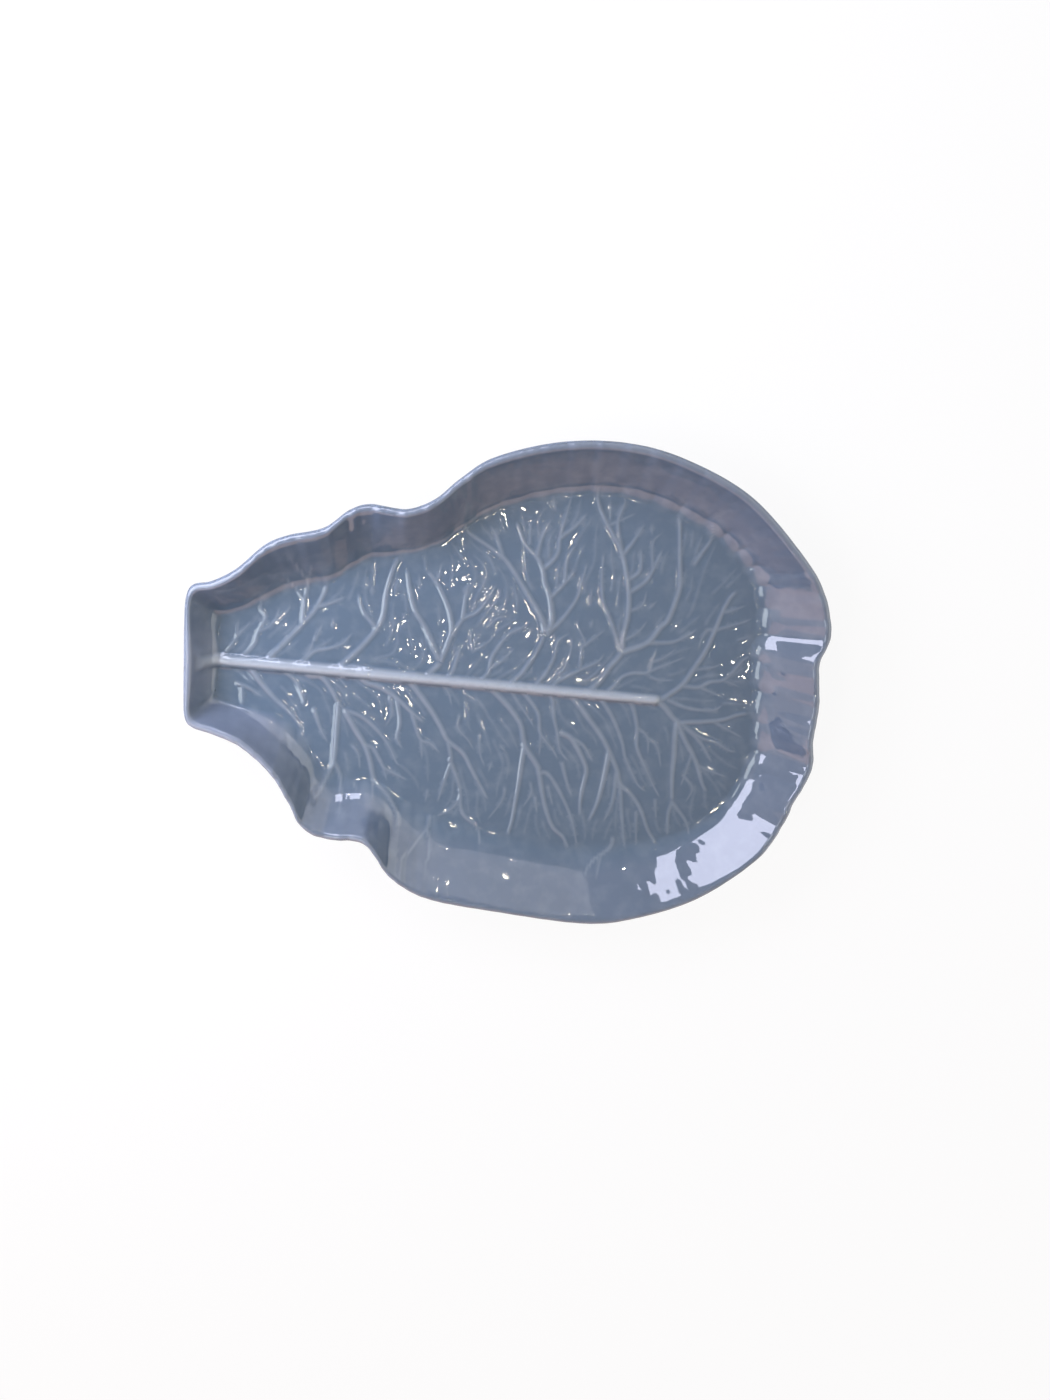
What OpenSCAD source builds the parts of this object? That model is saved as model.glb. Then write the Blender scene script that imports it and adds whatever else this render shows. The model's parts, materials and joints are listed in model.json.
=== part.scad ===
// Leaf shaped serving plate: one fired earthenware casting with a glass-like glaze fired onto it.
// The leaf lies flat on its foot ring, with the stem end at -X, the leaf's tip at +X and the face up.

/* [Outline] */
// Length over the lip, from the cut stem end to the leaf's tip
plate_length = 320; // [260:1:400]
// Width that the outline's shares are taken of, close to the width over the lip
plate_width = 250; // [200:1:310]

/* [Rim] */
// Height of the lip above the table where its height share is 1
rim_height = 32; // [24:0.5:44]
// Run of the sloping wall, seen from above, where its run share is 1
rim_flare = 30; // [20:0.5:38]
// Thickness of the rounded lip
lip_thickness = 3.6; // [2.5:0.1:5]

/* [Walls] */
// Thickness of the clay under the well
floor_thickness = 5; // [3.5:0.1:8]
// Thickness of the clay in the sloping wall
wall_thickness = 4.2; // [3:0.1:6]
// Thickness of the fired glaze
glaze_thickness = 0.45; // [0.3:0.05:0.8]

/* [Foot] */
// Height of the foot ring
foot_height = 3; // [2:0.1:5]
// Width of the foot ring's bare edge
foot_width = 4.5; // [3:0.1:8]
// Distance of the foot ring inside the edge of the well
foot_inset = 8; // [4:0.5:14]

/* [Midrib] */
// Distance of the midrib's thick end from the foot of the stem end's wall
midrib_stem_gap = 3.6; // [2.5:0.1:8]
// Distance of the midrib's thin end from the leaf's tip
midrib_tip_gap = 77; // [60:1:110]
// Width of the midrib's flat crest at the stem end
midrib_crest = 2.4; // [1.5:0.1:4]
// Width of each sloping side of the midrib at the stem end
midrib_side = 3; // [1.5:0.1:4]
// Height of the midrib above the well at the stem end
midrib_height = 2.8; // [1.5:0.1:5]

/* [Side veins] */
// Half the width of a side vein where it leaves the midrib
vein_half_width = 2.4; // [1.5:0.1:3.5]
// Height of the tallest side vein
vein_height = 1.3; // [0.6:0.1:2.5]

/* [Hidden] */
$fn = 32;

// Colours of the bare clay and of the glaze
clay_color = [0.82, 0.79, 0.73];
glaze_color = [0.44, 0.50, 0.59];
base_glaze_color = [0.46, 0.52, 0.60];

floor_z = foot_height + floor_thickness;

// Places round the leaf, clockwise from the middle of the stem end. A row holds the lip's place as shares of
// the plate's length and width, its height as a share of the rim's height, and the way in from the lip to
// the edge of the well along X and Y, as shares of the wall's run.
rim_shares = [
  [0.000, 0.008, 0.78, 0.26, 0.00],
  [0.000, 0.080, 0.78, 0.26, -0.20],
  [0.002, 0.136, 0.78, 0.30, -0.40],
  [0.012, 0.164, 0.80, 0.30, -0.50],
  [0.041, 0.176, 0.83, 0.27, -0.55],
  [0.078, 0.206, 0.87, 0.20, -0.65],
  [0.119, 0.258, 0.92, 0.17, -0.85],
  [0.153, 0.282, 0.95, 0.17, -0.90],
  [0.206, 0.304, 0.97, 0.07, -0.95],
  [0.242, 0.342, 0.95, 0.00, -1.05],
  [0.272, 0.357, 0.95, -0.03, -0.98],
  [0.325, 0.356, 1.03, 0.00, -0.82],
  [0.366, 0.380, 1.03, 0.07, -0.82],
  [0.400, 0.422, 1.00, 0.10, -0.85],
  [0.447, 0.468, 1.00, 0.13, -0.88],
  [0.538, 0.508, 1.00, 0.10, -0.87],
  [0.634, 0.520, 1.00, 0.03, -0.85],
  [0.725, 0.502, 1.00, -0.13, -0.82],
  [0.831, 0.446, 1.00, -0.37, -0.70],
  [0.925, 0.344, 1.00, -0.67, -0.37],
  [0.970, 0.272, 0.98, -0.87, -0.25],
  [0.992, 0.192, 0.96, -0.97, -0.20],
  [0.981, 0.136, 1.02, -0.87, -0.12],
  [0.994, 0.048, 1.00, -0.88, -0.07],
  [0.995, -0.028, 1.03, -0.80, -0.03],
  [1.004, -0.078, 0.98, -0.84, -0.03],
  [0.998, -0.120, 1.00, -0.82, -0.07],
  [0.984, -0.164, 1.03, -0.78, -0.10],
  [0.973, -0.224, 1.00, -0.88, 0.00],
  [0.941, -0.306, 1.00, -0.97, 0.18],
  [0.856, -0.406, 1.00, -0.80, 0.63],
  [0.756, -0.466, 1.00, -0.57, 0.95],
  [0.669, -0.490, 0.97, -0.43, 1.04],
  [0.519, -0.476, 1.00, -0.20, 1.07],
  [0.406, -0.458, 1.00, -0.07, 1.13],
  [0.345, -0.416, 1.02, 0.00, 1.08],
  [0.316, -0.366, 1.05, -0.07, 0.88],
  [0.291, -0.340, 1.00, -0.07, 0.70],
  [0.231, -0.342, 0.93, 0.03, 0.78],
  [0.194, -0.320, 0.93, 0.10, 0.83],
  [0.173, -0.270, 0.95, 0.10, 0.75],
  [0.141, -0.208, 0.93, 0.08, 0.60],
  [0.092, -0.158, 0.87, 0.05, 0.42],
  [0.047, -0.138, 0.82, 0.10, 0.35],
  [0.014, -0.128, 0.79, 0.18, 0.33],
  [0.002, -0.108, 0.78, 0.28, 0.32],
  [0.000, -0.052, 0.78, 0.26, 0.13]
];
rim_count = len(rim_shares);

// Lines that run from the midrib to the lip, in the same order. A row holds the root's place on the midrib
// (0 to 1 along its upper side, 1 to 2 round its tip, 2 to 3 back along its lower side, 3 to 4 across its
// stem end), the row of rim_shares that it runs to, its bow as a share of its length, its height as a share
// of the vein height, and how far along the well it starts to rise.
line_shares = [
  [0.000, 0.35, 0.00, 0.0, 0.0],
  [0.010, 1.60, 0.00, 0.0, 0.0],
  [0.018, 2.20, 0.00, 0.0, 0.0],
  [0.026, 2.80, 0.00, 0.0, 0.0],
  [0.034, 3.40, 0.00, 0.0, 0.0],
  [0.048, 4.20, 0.00, 0.0, 0.0],
  [0.085, 5.30, 0.12, 0.6, 0.0],
  [0.125, 6.60, 0.08, 0.0, 0.0],
  [0.150, 7.80, 0.06, 1.0, 0.0],
  [0.164, 9.20, -0.04, 0.7, 0.5],
  [0.305, 10.60, 0.12, 1.0, 0.0],
  [0.500, 11.15, -0.05, 0.7, 0.1],
  [0.514, 11.75, 0.22, 0.9, 0.0],
  [0.615, 12.60, 0.10, 0.5, 0.1],
  [0.680, 13.30, 0.16, 1.0, 0.0],
  [0.694, 14.40, 0.14, 0.8, 0.3],
  [0.708, 15.20, 0.10, 0.8, 0.3],
  [0.860, 15.90, 0.20, 1.0, 0.0],
  [0.870, 16.60, 0.17, 0.0, 0.0],
  [0.885, 17.40, 0.14, 1.0, 0.1],
  [0.930, 18.00, 0.10, 0.0, 0.0],
  [0.970, 18.60, 0.06, 0.5, 0.2],
  [1.040, 19.20, 0.03, 0.0, 0.0],
  [1.100, 19.90, 0.00, 1.0, 0.0],
  [1.180, 20.80, -0.05, 0.0, 0.0],
  [1.260, 21.80, -0.10, 0.9, 0.1],
  [1.340, 22.70, -0.05, 0.0, 0.0],
  [1.420, 23.60, 0.00, 0.8, 0.1],
  [1.485, 24.60, 0.03, 0.0, 0.0],
  [1.550, 25.60, 0.06, 0.7, 0.1],
  [1.615, 26.50, 0.05, 0.0, 0.0],
  [1.680, 27.40, 0.04, 0.7, 0.1],
  [1.800, 28.60, -0.04, 0.8, 0.1],
  [1.920, 29.40, -0.12, 1.0, 0.1],
  [2.180, 30.20, -0.06, 1.0, 0.0],
  [2.190, 30.75, -0.11, 0.0, 0.0],
  [2.200, 31.30, -0.16, 0.7, 0.4],
  [2.240, 31.90, -0.16, 0.8, 0.1],
  [2.355, 32.35, -0.06, 0.9, 0.3],
  [2.370, 32.90, -0.18, 1.0, 0.0],
  [2.530, 33.40, -0.04, 1.0, 0.0],
  [2.545, 33.95, -0.16, 0.7, 0.4],
  [2.635, 34.45, -0.12, 0.7, 0.1],
  [2.730, 35.20, -0.08, 1.0, 0.0],
  [2.744, 36.30, -0.14, 0.0, 0.3],
  [2.758, 37.20, -0.18, 0.6, 0.3],
  [2.772, 38.10, -0.22, 0.7, 0.3],
  [2.786, 39.00, -0.24, 0.9, 0.1],
  [2.890, 40.40, -0.08, 0.8, 0.0],
  [2.925, 41.70, -0.08, 0.0, 0.0],
  [2.960, 43.00, -0.10, 0.4, 0.0],
  [2.968, 43.80, 0.00, 0.0, 0.0],
  [2.976, 44.50, 0.00, 0.0, 0.0],
  [2.984, 45.10, 0.00, 0.0, 0.0],
  [2.992, 45.70, 0.00, 0.0, 0.0],
  [3.000, 46.50, 0.00, 0.0, 0.0]
];
line_count = len(line_shares);

// Columns of points, round the leaf. A line has its own column, 0. A raised vein also has its foot on each
// side: 1 is the foot of the line itself, and 2 is the foot of the line after it.
function raised(i) = line_shares[i % line_count][3] > 0;
columns = [
  for (i = [0:line_count - 1])
    each concat([[i, 0]], raised(i) ? [[i, 1]] : [], raised(i + 1) ? [[i, 2]] : [])
];
column_count = len(columns);

// Share of a way that a vein's foot may take up between its crest and the next one
foot_limit_share = 0.36;
// What a vein has lost of its width, and kept of its height, at the edge of the well
vein_narrowing_share = 0.5;
vein_end_share = 0.7;
// Share of the well that a vein takes to rise from nothing
vein_start_share = 0.16;

// Rings along a line on the well, from the midrib's side to the edge of the well
well_ring_shares = [0, 0.20, 0.42, 0.64, 0.84, 1];
// Rings up the wall: run and rise as shares of the wall's own run and rise
wall_ring_shares = [[0.14, 0.11], [0.40, 0.43], [0.68, 0.78], [0.88, 0.98]];
// Rings of the wall, counted up from the edge of the well, whose backs shape the outside
back_ring_picks = [3, 2, 0];
// What is left of a vein's height at each ring of the wall
wall_vein_shares = [0.55, 0.35, 0.15, 0];

// Numbers of the rings: the crest of the midrib is ring 0
well_rings = len(well_ring_shares);
wall_rings = len(wall_ring_shares);
lip_top_ring = well_rings + wall_rings;
lip_edge_ring = lip_top_ring + 1;
lip_back_ring = lip_edge_ring + 1;
foot_top_ring = lip_back_ring + len(back_ring_picks) + 1;
foot_out_ring = foot_top_ring + 1;
foot_in_ring = foot_out_ring + 1;
base_ring = foot_in_ring + 1;

function mix(a, b, s) = a + (b - a) * s;
function unit(v) = v / norm(v);
function smooth(s) = let (c = max(0, min(1, s))) c * c * (3 - 2 * c);

// A closed curve through a list of values, at any place t counted in its rows
function round_trip(rows, t) =
  let (
    n = len(rows),
    k = floor(t),
    s = t - k,
    a = rows[(k + n - 1) % n],
    b = rows[(k + n) % n],
    c = rows[(k + 1) % n],
    d = rows[(k + 2) % n]
  )
  0.5 * (2 * b + (c - a) * s + (2 * a - 5 * b + 4 * c - d) * s * s + (3 * b - a - 3 * c + d) * s * s * s);

// Outermost edge of the lip, and the edge of the well, at place t
function rim_at(t) = round_trip(rim_shares, t);
function lip_at(t) = let (r = rim_at(t)) [r[0] * plate_length, r[1] * plate_width, r[2] * rim_height];
function well_at(t) =
  let (r = rim_at(t))
  [r[0] * plate_length + r[3] * rim_flare, r[1] * plate_width + r[4] * rim_flare, floor_z];

// Where the midrib starts and stops
midrib_start = well_at(0)[0] + midrib_stem_gap;
midrib_stop = plate_length - midrib_tip_gap;
// How far the midrib's stem end bulges, as a share of its half width
stem_round_share = 0.25;
// What is left of the midrib's width and height at its thin end
midrib_width_share = 0.78;
midrib_height_share = 0.6;

// Tapered loop round the midrib, with round ends, at a distance out from its centre line that shrinks
// towards the tip. The third value is the share of the midrib's length.
function taper(x) = mix(1, midrib_width_share, x);
function rib_loop(root, half_width) =
  let (
    r = root % 4,
    x0 = midrib_start,
    x1 = midrib_stop,
    end = half_width * taper(1)
  )
  r <= 1 ? [mix(x0, x1, r), half_width * taper(r), r]
  : r < 2 ? [x1 + end * cos(90 - 180 * (r - 1)), end * sin(90 - 180 * (r - 1)), 1]
  : r <= 3 ? [mix(x0, x1, 3 - r), -half_width * taper(3 - r), 3 - r]
  : [x0 - stem_round_share * half_width * sin(180 * (r - 3)), -half_width * cos(180 * (r - 3)), 0];
function rib_crest_z(along) = floor_z + midrib_height * mix(1, midrib_height_share, along);

// Values of a line, counted on past the last one back to the first
function line_at(i) =
  let (k = i % line_count, turn = floor(i / line_count), row = line_shares[k])
  [row[0] + 4 * turn, row[1] + rim_count * turn, row[2], row[3], row[4]];

// Way across the well at line i, a share b on towards the next line and a share f along
function well_way(i, b, f) =
  let (
    row = mix(line_at(i), line_at(i + 1), b),
    from = rib_loop(row[0], midrib_crest / 2 + midrib_side),
    start = [from[0], from[1]],
    stop3 = well_at(row[1]),
    stop = [stop3[0], stop3[1]],
    run = stop - start,
    bow = (start + stop) / 2 + [run[1], -run[0]] * row[2]
  )
  (1 - f) * (1 - f) * start + 2 * f * (1 - f) * bow + f * f * stop;

// Place on the face at a ring, before any vein is raised
function face_way(i, b, ring) =
  let (t = mix(line_at(i)[1], line_at(i + 1)[1], b), lip = lip_at(t), edge = well_at(t))
  ring == 0
  ? let (p = rib_loop(mix(line_at(i)[0], line_at(i + 1)[0], b), midrib_crest / 2)) [p[0], p[1], rib_crest_z(p[2])]
  : ring <= well_rings
  ? let (p = well_way(i, b, well_ring_shares[ring - 1])) [p[0], p[1], floor_z]
  : ring < lip_top_ring + 1
  ? let (s = wall_ring_shares[ring - well_rings - 1])
    [mix(edge[0], lip[0], s[0]), mix(edge[1], lip[1], s[0]), mix(floor_z, lip[2], s[1])]
  : lip - [0, 0, lip_thickness / 2];

// Share of the way to the next line that a vein's foot takes up at a ring. Up the wall the columns spread
// evenly, so that the veins widen into soft flutes and the lip stays smooth.
function even_share(i) = 1 / (1 + (raised(i) ? 1 : 0) + (raised(i + 1) ? 1 : 0));
function foot_share(i, ring) =
  let (
    here = min(ring, well_rings),
    gap = norm(face_way(i, 1, here) - face_way(i, 0, here)),
    half_width = vein_half_width * mix(1, vein_narrowing_share, here / well_rings),
    foot = half_width < gap * foot_limit_share ? half_width / gap : foot_limit_share
  )
  mix(foot, even_share(i), max(0, ring - well_rings) / wall_rings);
function foot_distance(i, ring) = foot_share(i, ring) * norm(face_way(i, 1, ring) - face_way(i, 0, ring));

// The most that a vein's sides rise for each step across
vein_side_slope = 0.8;

// What a line's crest stands above the face at a ring
function vein_rise(i, ring) =
  let (
    row = line_at(i),
    f = ring <= well_rings ? well_ring_shares[ring - 1] : 1,
    left = ring <= well_rings
      ? mix(1, vein_end_share, f) * smooth((f - row[4]) / vein_start_share + 1 / 2)
      : wall_vein_shares[ring - well_rings - 1],
    foot = min(foot_distance(i, ring), foot_distance(i + line_count - 1, ring))
  )
  min(vein_height * row[3] * left, foot * vein_side_slope);

// A point on the face, at a column and ring
function face_point(column, ring) =
  let (i = column[0], side = column[1], share = foot_share(i, min(ring, lip_top_ring)))
  side == 0 ? face_way(i, 0, ring) + [0, 0, ring == 0 || ring > lip_top_ring ? 0 : vein_rise(i, ring)]
  : face_way(i, side == 1 ? share : 1 - share, ring);

face = [for (column = columns) [for (ring = [0:lip_edge_ring]) face_point(column, ring)]];

// Outward direction of a grid at a column and ring
function grid_normal(grid, c, ring) =
  let (
    n = len(grid),
    last = len(grid[0]) - 1,
    across = grid[(c + 1) % n][ring] - grid[(c + n - 1) % n][ring],
    along = grid[c][min(ring + 1, last)] - grid[c][max(ring - 1, 0)]
  )
  unit(cross(across, along));

// Way down and out through the clay at a ring of a column, in the column's own upright plane
function back_way(column, ring) =
  let (along = column[ring + 1] - column[ring - 1], run = norm([along[0], along[1]]))
  unit([along[0] * along[2] / run, along[1] * along[2] / run, -run]);

// Straight line along the leaf that the foot ring is drawn in towards
spine_start_share = 0.16;
spine_stop_share = 0.68;
function spine_at(p) =
  [max(spine_start_share * plate_length, min(spine_stop_share * plate_length, p[0])), 0];

// A place drawn in from the edge of the well by a distance, at height z
function drawn_in(edge, distance, z) =
  let (p = [edge[0], edge[1]], q = p - unit(p - spine_at(p)) * distance) [q[0], q[1], z];

// The back of one column: under the lip, down the outside, then the foot ring and the base
function back_points(c) =
  let (
    lip = face[c][lip_edge_ring],
    inner = face[c][lip_top_ring],
    under = (lip + inner) / 2,
    edge = face[c][well_rings]
  )
  concat(
    [[under[0], under[1], inner[2] - lip_thickness]],
    [for (pick = back_ring_picks) face[c][well_rings + pick] + back_way(face[c], well_rings + pick) * wall_thickness],
    [
      drawn_in(edge, foot_inset, foot_height),
      drawn_in(edge, foot_inset, 0),
      drawn_in(edge, foot_inset + foot_width, 0),
      drawn_in(edge, foot_inset + foot_width, foot_height)
    ]
  );

clay = [for (c = [0:column_count - 1]) concat(face[c], back_points(c))];

// The glaze's outer face, from the midrib over the lip to the top of the foot ring
glazed_clay = [for (c = [0:column_count - 1]) [for (ring = [0:foot_top_ring]) clay[c][ring]]];
glaze_face = [
  for (c = [0:column_count - 1]) [
    for (ring = [0:foot_top_ring])
      clay[c][ring] + glaze_thickness * (
        ring == 0 ? unit(grid_normal(glazed_clay, c, 0) + [0, 0, 1])
        : ring == foot_top_ring ? [0, 0, -1]
        : grid_normal(glazed_clay, c, ring)
      )
  ]
];

// The origin is under the middle of the plate's box
edge_x = [for (column = clay, p = column) p[0]];
edge_y = [for (column = clay, p = column) p[1]];
box_middle = [(min(edge_x) + max(edge_x)) / 2, (min(edge_y) + max(edge_y)) / 2, 0];

// The leaf's upper and lower halves, each listed from the stem to the first column past the tip's root
tip_root_share = 1.4;
tip_column = [for (c = [0:column_count - 1]) if (line_shares[columns[c][0]][0] > tip_root_share) c][0];
upper_half = [for (c = [0:tip_column]) c];
lower_half = [for (c = [column_count - 1:-1:tip_column]) c];

// Triangles that fill a loop between its two halves
function zipped(loop, i, j) =
  let (more_i = i < len(upper_half) - 1, more_j = j < len(lower_half) - 1)
  !more_i && !more_j ? []
  : let (
      next_i = more_i ? loop[upper_half[i + 1]][0] : 0,
      next_j = more_j ? loop[lower_half[j + 1]][0] : 0,
      step_upper = more_i && (!more_j || next_i <= next_j),
      a = upper_half[i],
      b = lower_half[j],
      last = step_upper ? upper_half[i + 1] : lower_half[j + 1]
    )
    concat(
      last == a || last == b ? [] : [[a, last, b]],
      zipped(loop, i + (step_upper ? 1 : 0), j + (step_upper ? 0 : 1))
    );

function shifted(triangles, by) = [for (t = triangles) [t[0] + by, t[1] + by, t[2] + by]];
function turned(triangles) = [for (t = triangles) [t[0], t[2], t[1]]];
function loop_of(grid, ring) = [for (column = grid) column[ring]];

// Triangles of a band of rings, each ring's points stored together, seen from outside
function band(rings) = [
  for (r = [0:rings - 2], c = [0:column_count - 1])
    let (
      d = (c + 1) % column_count,
      a = r * column_count,
      b = a + column_count
    )
    each [[a + c, b + c, b + d], [a + c, b + d, a + d]]
];

function stored(grid, rings) = [for (ring = rings, column = grid) column[ring]];

// Triangles from one stored ring to another one further on
function seam(from, to) = [
  for (c = [0:column_count - 1])
    let (d = (c + 1) % column_count, a = from * column_count, b = to * column_count)
    each [[a + c, b + c, b + d], [a + c, b + d, a + d]]
];

module earthenware_body() {
  rings = base_ring + 1;
  color(clay_color)
    translate(-box_middle)
      polyhedron(
        points = stored(clay, [0:base_ring]),
        faces = concat(
          zipped(loop_of(clay, 0), 0, 0),
          band(rings),
          shifted(turned(zipped(loop_of(clay, base_ring), 0, 0)), base_ring * column_count)
        )
      );
}

// The glaze that covers the face, the lip and the outside
module glaze_coat() {
  rings = foot_top_ring + 1;
  color(glaze_color)
    translate(-box_middle)
      polyhedron(
        points = concat(stored(glaze_face, [0:foot_top_ring]), stored(clay, [0:foot_top_ring])),
        faces = concat(
          zipped(loop_of(glaze_face, 0), 0, 0),
          band(rings),
          seam(rings - 1, 2 * rings - 1),
          shifted(turned(concat(zipped(loop_of(clay, 0), 0, 0), band(rings))), rings * column_count)
        )
      );
}

// The glaze inside the foot ring
module base_glaze() {
  bare = loop_of(clay, base_ring);
  skin = [for (p = bare) p - [0, 0, glaze_thickness]];
  fill = zipped(bare, 0, 0);
  color(base_glaze_color)
    translate(-box_middle)
      polyhedron(
        points = concat(bare, skin),
        faces = concat(fill, seam(0, 1), shifted(turned(fill), column_count))
      );
}

earthenware_body();
glaze_coat();
base_glaze();
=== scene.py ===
"""Leaf shaped serving plate of glazed earthenware, lying on its foot ring and seen from above."""

import json
import logging
import math
from abc import ABC, abstractmethod
from dataclasses import dataclass, field
from enum import Enum
from typing import Any, Iterable, NamedTuple, Sequence

import bpy
import numpy as np
from mathutils import Matrix, Vector
from mathutils.geometry import delaunay_2d_cdt
from mathutils.kdtree import KDTree

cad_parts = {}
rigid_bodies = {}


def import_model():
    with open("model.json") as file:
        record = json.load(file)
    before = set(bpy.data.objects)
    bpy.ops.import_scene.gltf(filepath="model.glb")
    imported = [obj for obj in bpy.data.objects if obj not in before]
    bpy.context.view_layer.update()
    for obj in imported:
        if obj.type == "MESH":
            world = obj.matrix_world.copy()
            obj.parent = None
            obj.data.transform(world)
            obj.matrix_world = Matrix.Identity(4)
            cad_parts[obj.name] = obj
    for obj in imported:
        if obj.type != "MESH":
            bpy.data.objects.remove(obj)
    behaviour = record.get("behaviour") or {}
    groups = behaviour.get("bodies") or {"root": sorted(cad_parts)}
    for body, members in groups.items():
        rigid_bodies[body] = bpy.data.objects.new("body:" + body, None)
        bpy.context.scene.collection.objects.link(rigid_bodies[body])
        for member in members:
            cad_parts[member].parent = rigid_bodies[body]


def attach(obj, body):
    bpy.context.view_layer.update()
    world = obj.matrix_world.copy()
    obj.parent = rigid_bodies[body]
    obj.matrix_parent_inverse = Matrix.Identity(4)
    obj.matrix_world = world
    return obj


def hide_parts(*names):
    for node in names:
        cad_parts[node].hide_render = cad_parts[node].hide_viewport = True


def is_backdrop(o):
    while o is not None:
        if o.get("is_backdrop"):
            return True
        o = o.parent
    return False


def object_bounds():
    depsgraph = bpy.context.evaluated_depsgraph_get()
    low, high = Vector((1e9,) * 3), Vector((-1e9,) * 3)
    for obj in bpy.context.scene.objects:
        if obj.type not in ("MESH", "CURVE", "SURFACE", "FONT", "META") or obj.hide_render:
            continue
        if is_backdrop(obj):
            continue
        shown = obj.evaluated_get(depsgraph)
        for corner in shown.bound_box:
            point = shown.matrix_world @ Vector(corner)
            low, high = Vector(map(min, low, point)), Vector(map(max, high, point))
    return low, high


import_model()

LOG = logging.getLogger("leaf_plate")
MM = 0.001
SEED = 7
SIZE_NAMES = ("half_width", "rise")
NO_SPOTS = np.zeros((0, 2))

Pair = tuple[float, float]
Pixel = tuple[float, float]
Route = tuple[Pixel, ...]
Colour = tuple[float, float, float]

# Places round the leaf, clockwise from the middle of the stem end: the lip as shares of the plate's length
# and width, its height as a share of the rim's height, and the way in to the edge of the well along X and Y
# as shares of the flare.
RIM_SHARES = (
    (0.000, 0.008, 0.78, 0.26, 0.00), (0.000, 0.080, 0.78, 0.26, -0.20),
    (0.002, 0.136, 0.78, 0.30, -0.40), (0.012, 0.164, 0.80, 0.30, -0.50),
    (0.041, 0.176, 0.83, 0.27, -0.55), (0.078, 0.206, 0.87, 0.20, -0.65),
    (0.119, 0.258, 0.92, 0.17, -0.85), (0.153, 0.282, 0.95, 0.17, -0.90),
    (0.206, 0.304, 0.97, 0.07, -0.95), (0.242, 0.342, 0.95, 0.00, -1.05),
    (0.272, 0.357, 0.95, -0.03, -0.98), (0.325, 0.356, 1.03, 0.00, -0.82),
    (0.366, 0.380, 1.03, 0.07, -0.82), (0.400, 0.422, 1.00, 0.10, -0.85),
    (0.447, 0.468, 1.00, 0.13, -0.88), (0.538, 0.508, 1.00, 0.10, -0.87),
    (0.634, 0.520, 1.00, 0.03, -0.85), (0.725, 0.502, 1.00, -0.13, -0.82),
    (0.831, 0.446, 1.00, -0.37, -0.70), (0.925, 0.344, 1.00, -0.67, -0.37),
    (0.970, 0.272, 0.98, -0.87, -0.25), (0.992, 0.192, 0.96, -0.97, -0.20),
    (0.981, 0.136, 1.02, -0.87, -0.12), (0.994, 0.048, 1.00, -0.88, -0.07),
    (0.995, -0.028, 1.03, -0.80, -0.03), (1.004, -0.078, 0.98, -0.84, -0.03),
    (0.998, -0.120, 1.00, -0.82, -0.07), (0.984, -0.164, 1.03, -0.78, -0.10),
    (0.973, -0.224, 1.00, -0.88, 0.00), (0.941, -0.306, 1.00, -0.97, 0.18),
    (0.856, -0.406, 1.00, -0.80, 0.63), (0.756, -0.466, 1.00, -0.57, 0.95),
    (0.669, -0.490, 0.97, -0.43, 1.04), (0.519, -0.476, 1.00, -0.20, 1.07),
    (0.406, -0.458, 1.00, -0.07, 1.13), (0.345, -0.416, 1.02, 0.00, 1.08),
    (0.316, -0.366, 1.05, -0.07, 0.88), (0.291, -0.340, 1.00, -0.07, 0.70),
    (0.231, -0.342, 0.93, 0.03, 0.78), (0.194, -0.320, 0.93, 0.10, 0.83),
    (0.173, -0.270, 0.95, 0.10, 0.75), (0.141, -0.208, 0.93, 0.08, 0.60),
    (0.092, -0.158, 0.87, 0.05, 0.42), (0.047, -0.138, 0.82, 0.10, 0.35),
    (0.014, -0.128, 0.79, 0.18, 0.33), (0.002, -0.108, 0.78, 0.28, 0.32),
    (0.000, -0.052, 0.78, 0.26, 0.13),
)

# How softly the wall runs out into the well: place in rows of RIM_SHARES, reach of the soft foot each way in
# millimetres, and how far outside the edge of the well the wall's straight slope would start.
SOFT_FOOT = (
    (0.0, 5.6, -1.8), (2.0, 5.4, -1.4), (4.0, 4.0, 0.8), (12.0, 3.0, 1.5), (20.0, 5.5, 2.2),
    (28.0, 6.0, 2.4), (31.0, 8.0, 2.8), (38.0, 9.5, 3.0), (42.0, 8.5, 2.8), (44.0, 6.0, 1.8),
    (45.5, 5.4, -0.8), (47.0, 5.6, -1.8),
)

# Directions of the small lamps, each as elevation and azimuth in degrees.
LAMP_DIRECTIONS = (
    (80, -95), (77, -84), (76, -72), (74, -101), (71, -62), (69, -106), (72, -117), (66, -36),
    (84, -60), (81, -130), (64, -140), (26, 49), (31, 61), (33, 76), (40, 70), (44, 85), (38, 96),
    (22, 60), (50, 140), (46, 20), (56, 105), (62, 60), (58, 160),
)

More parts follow.
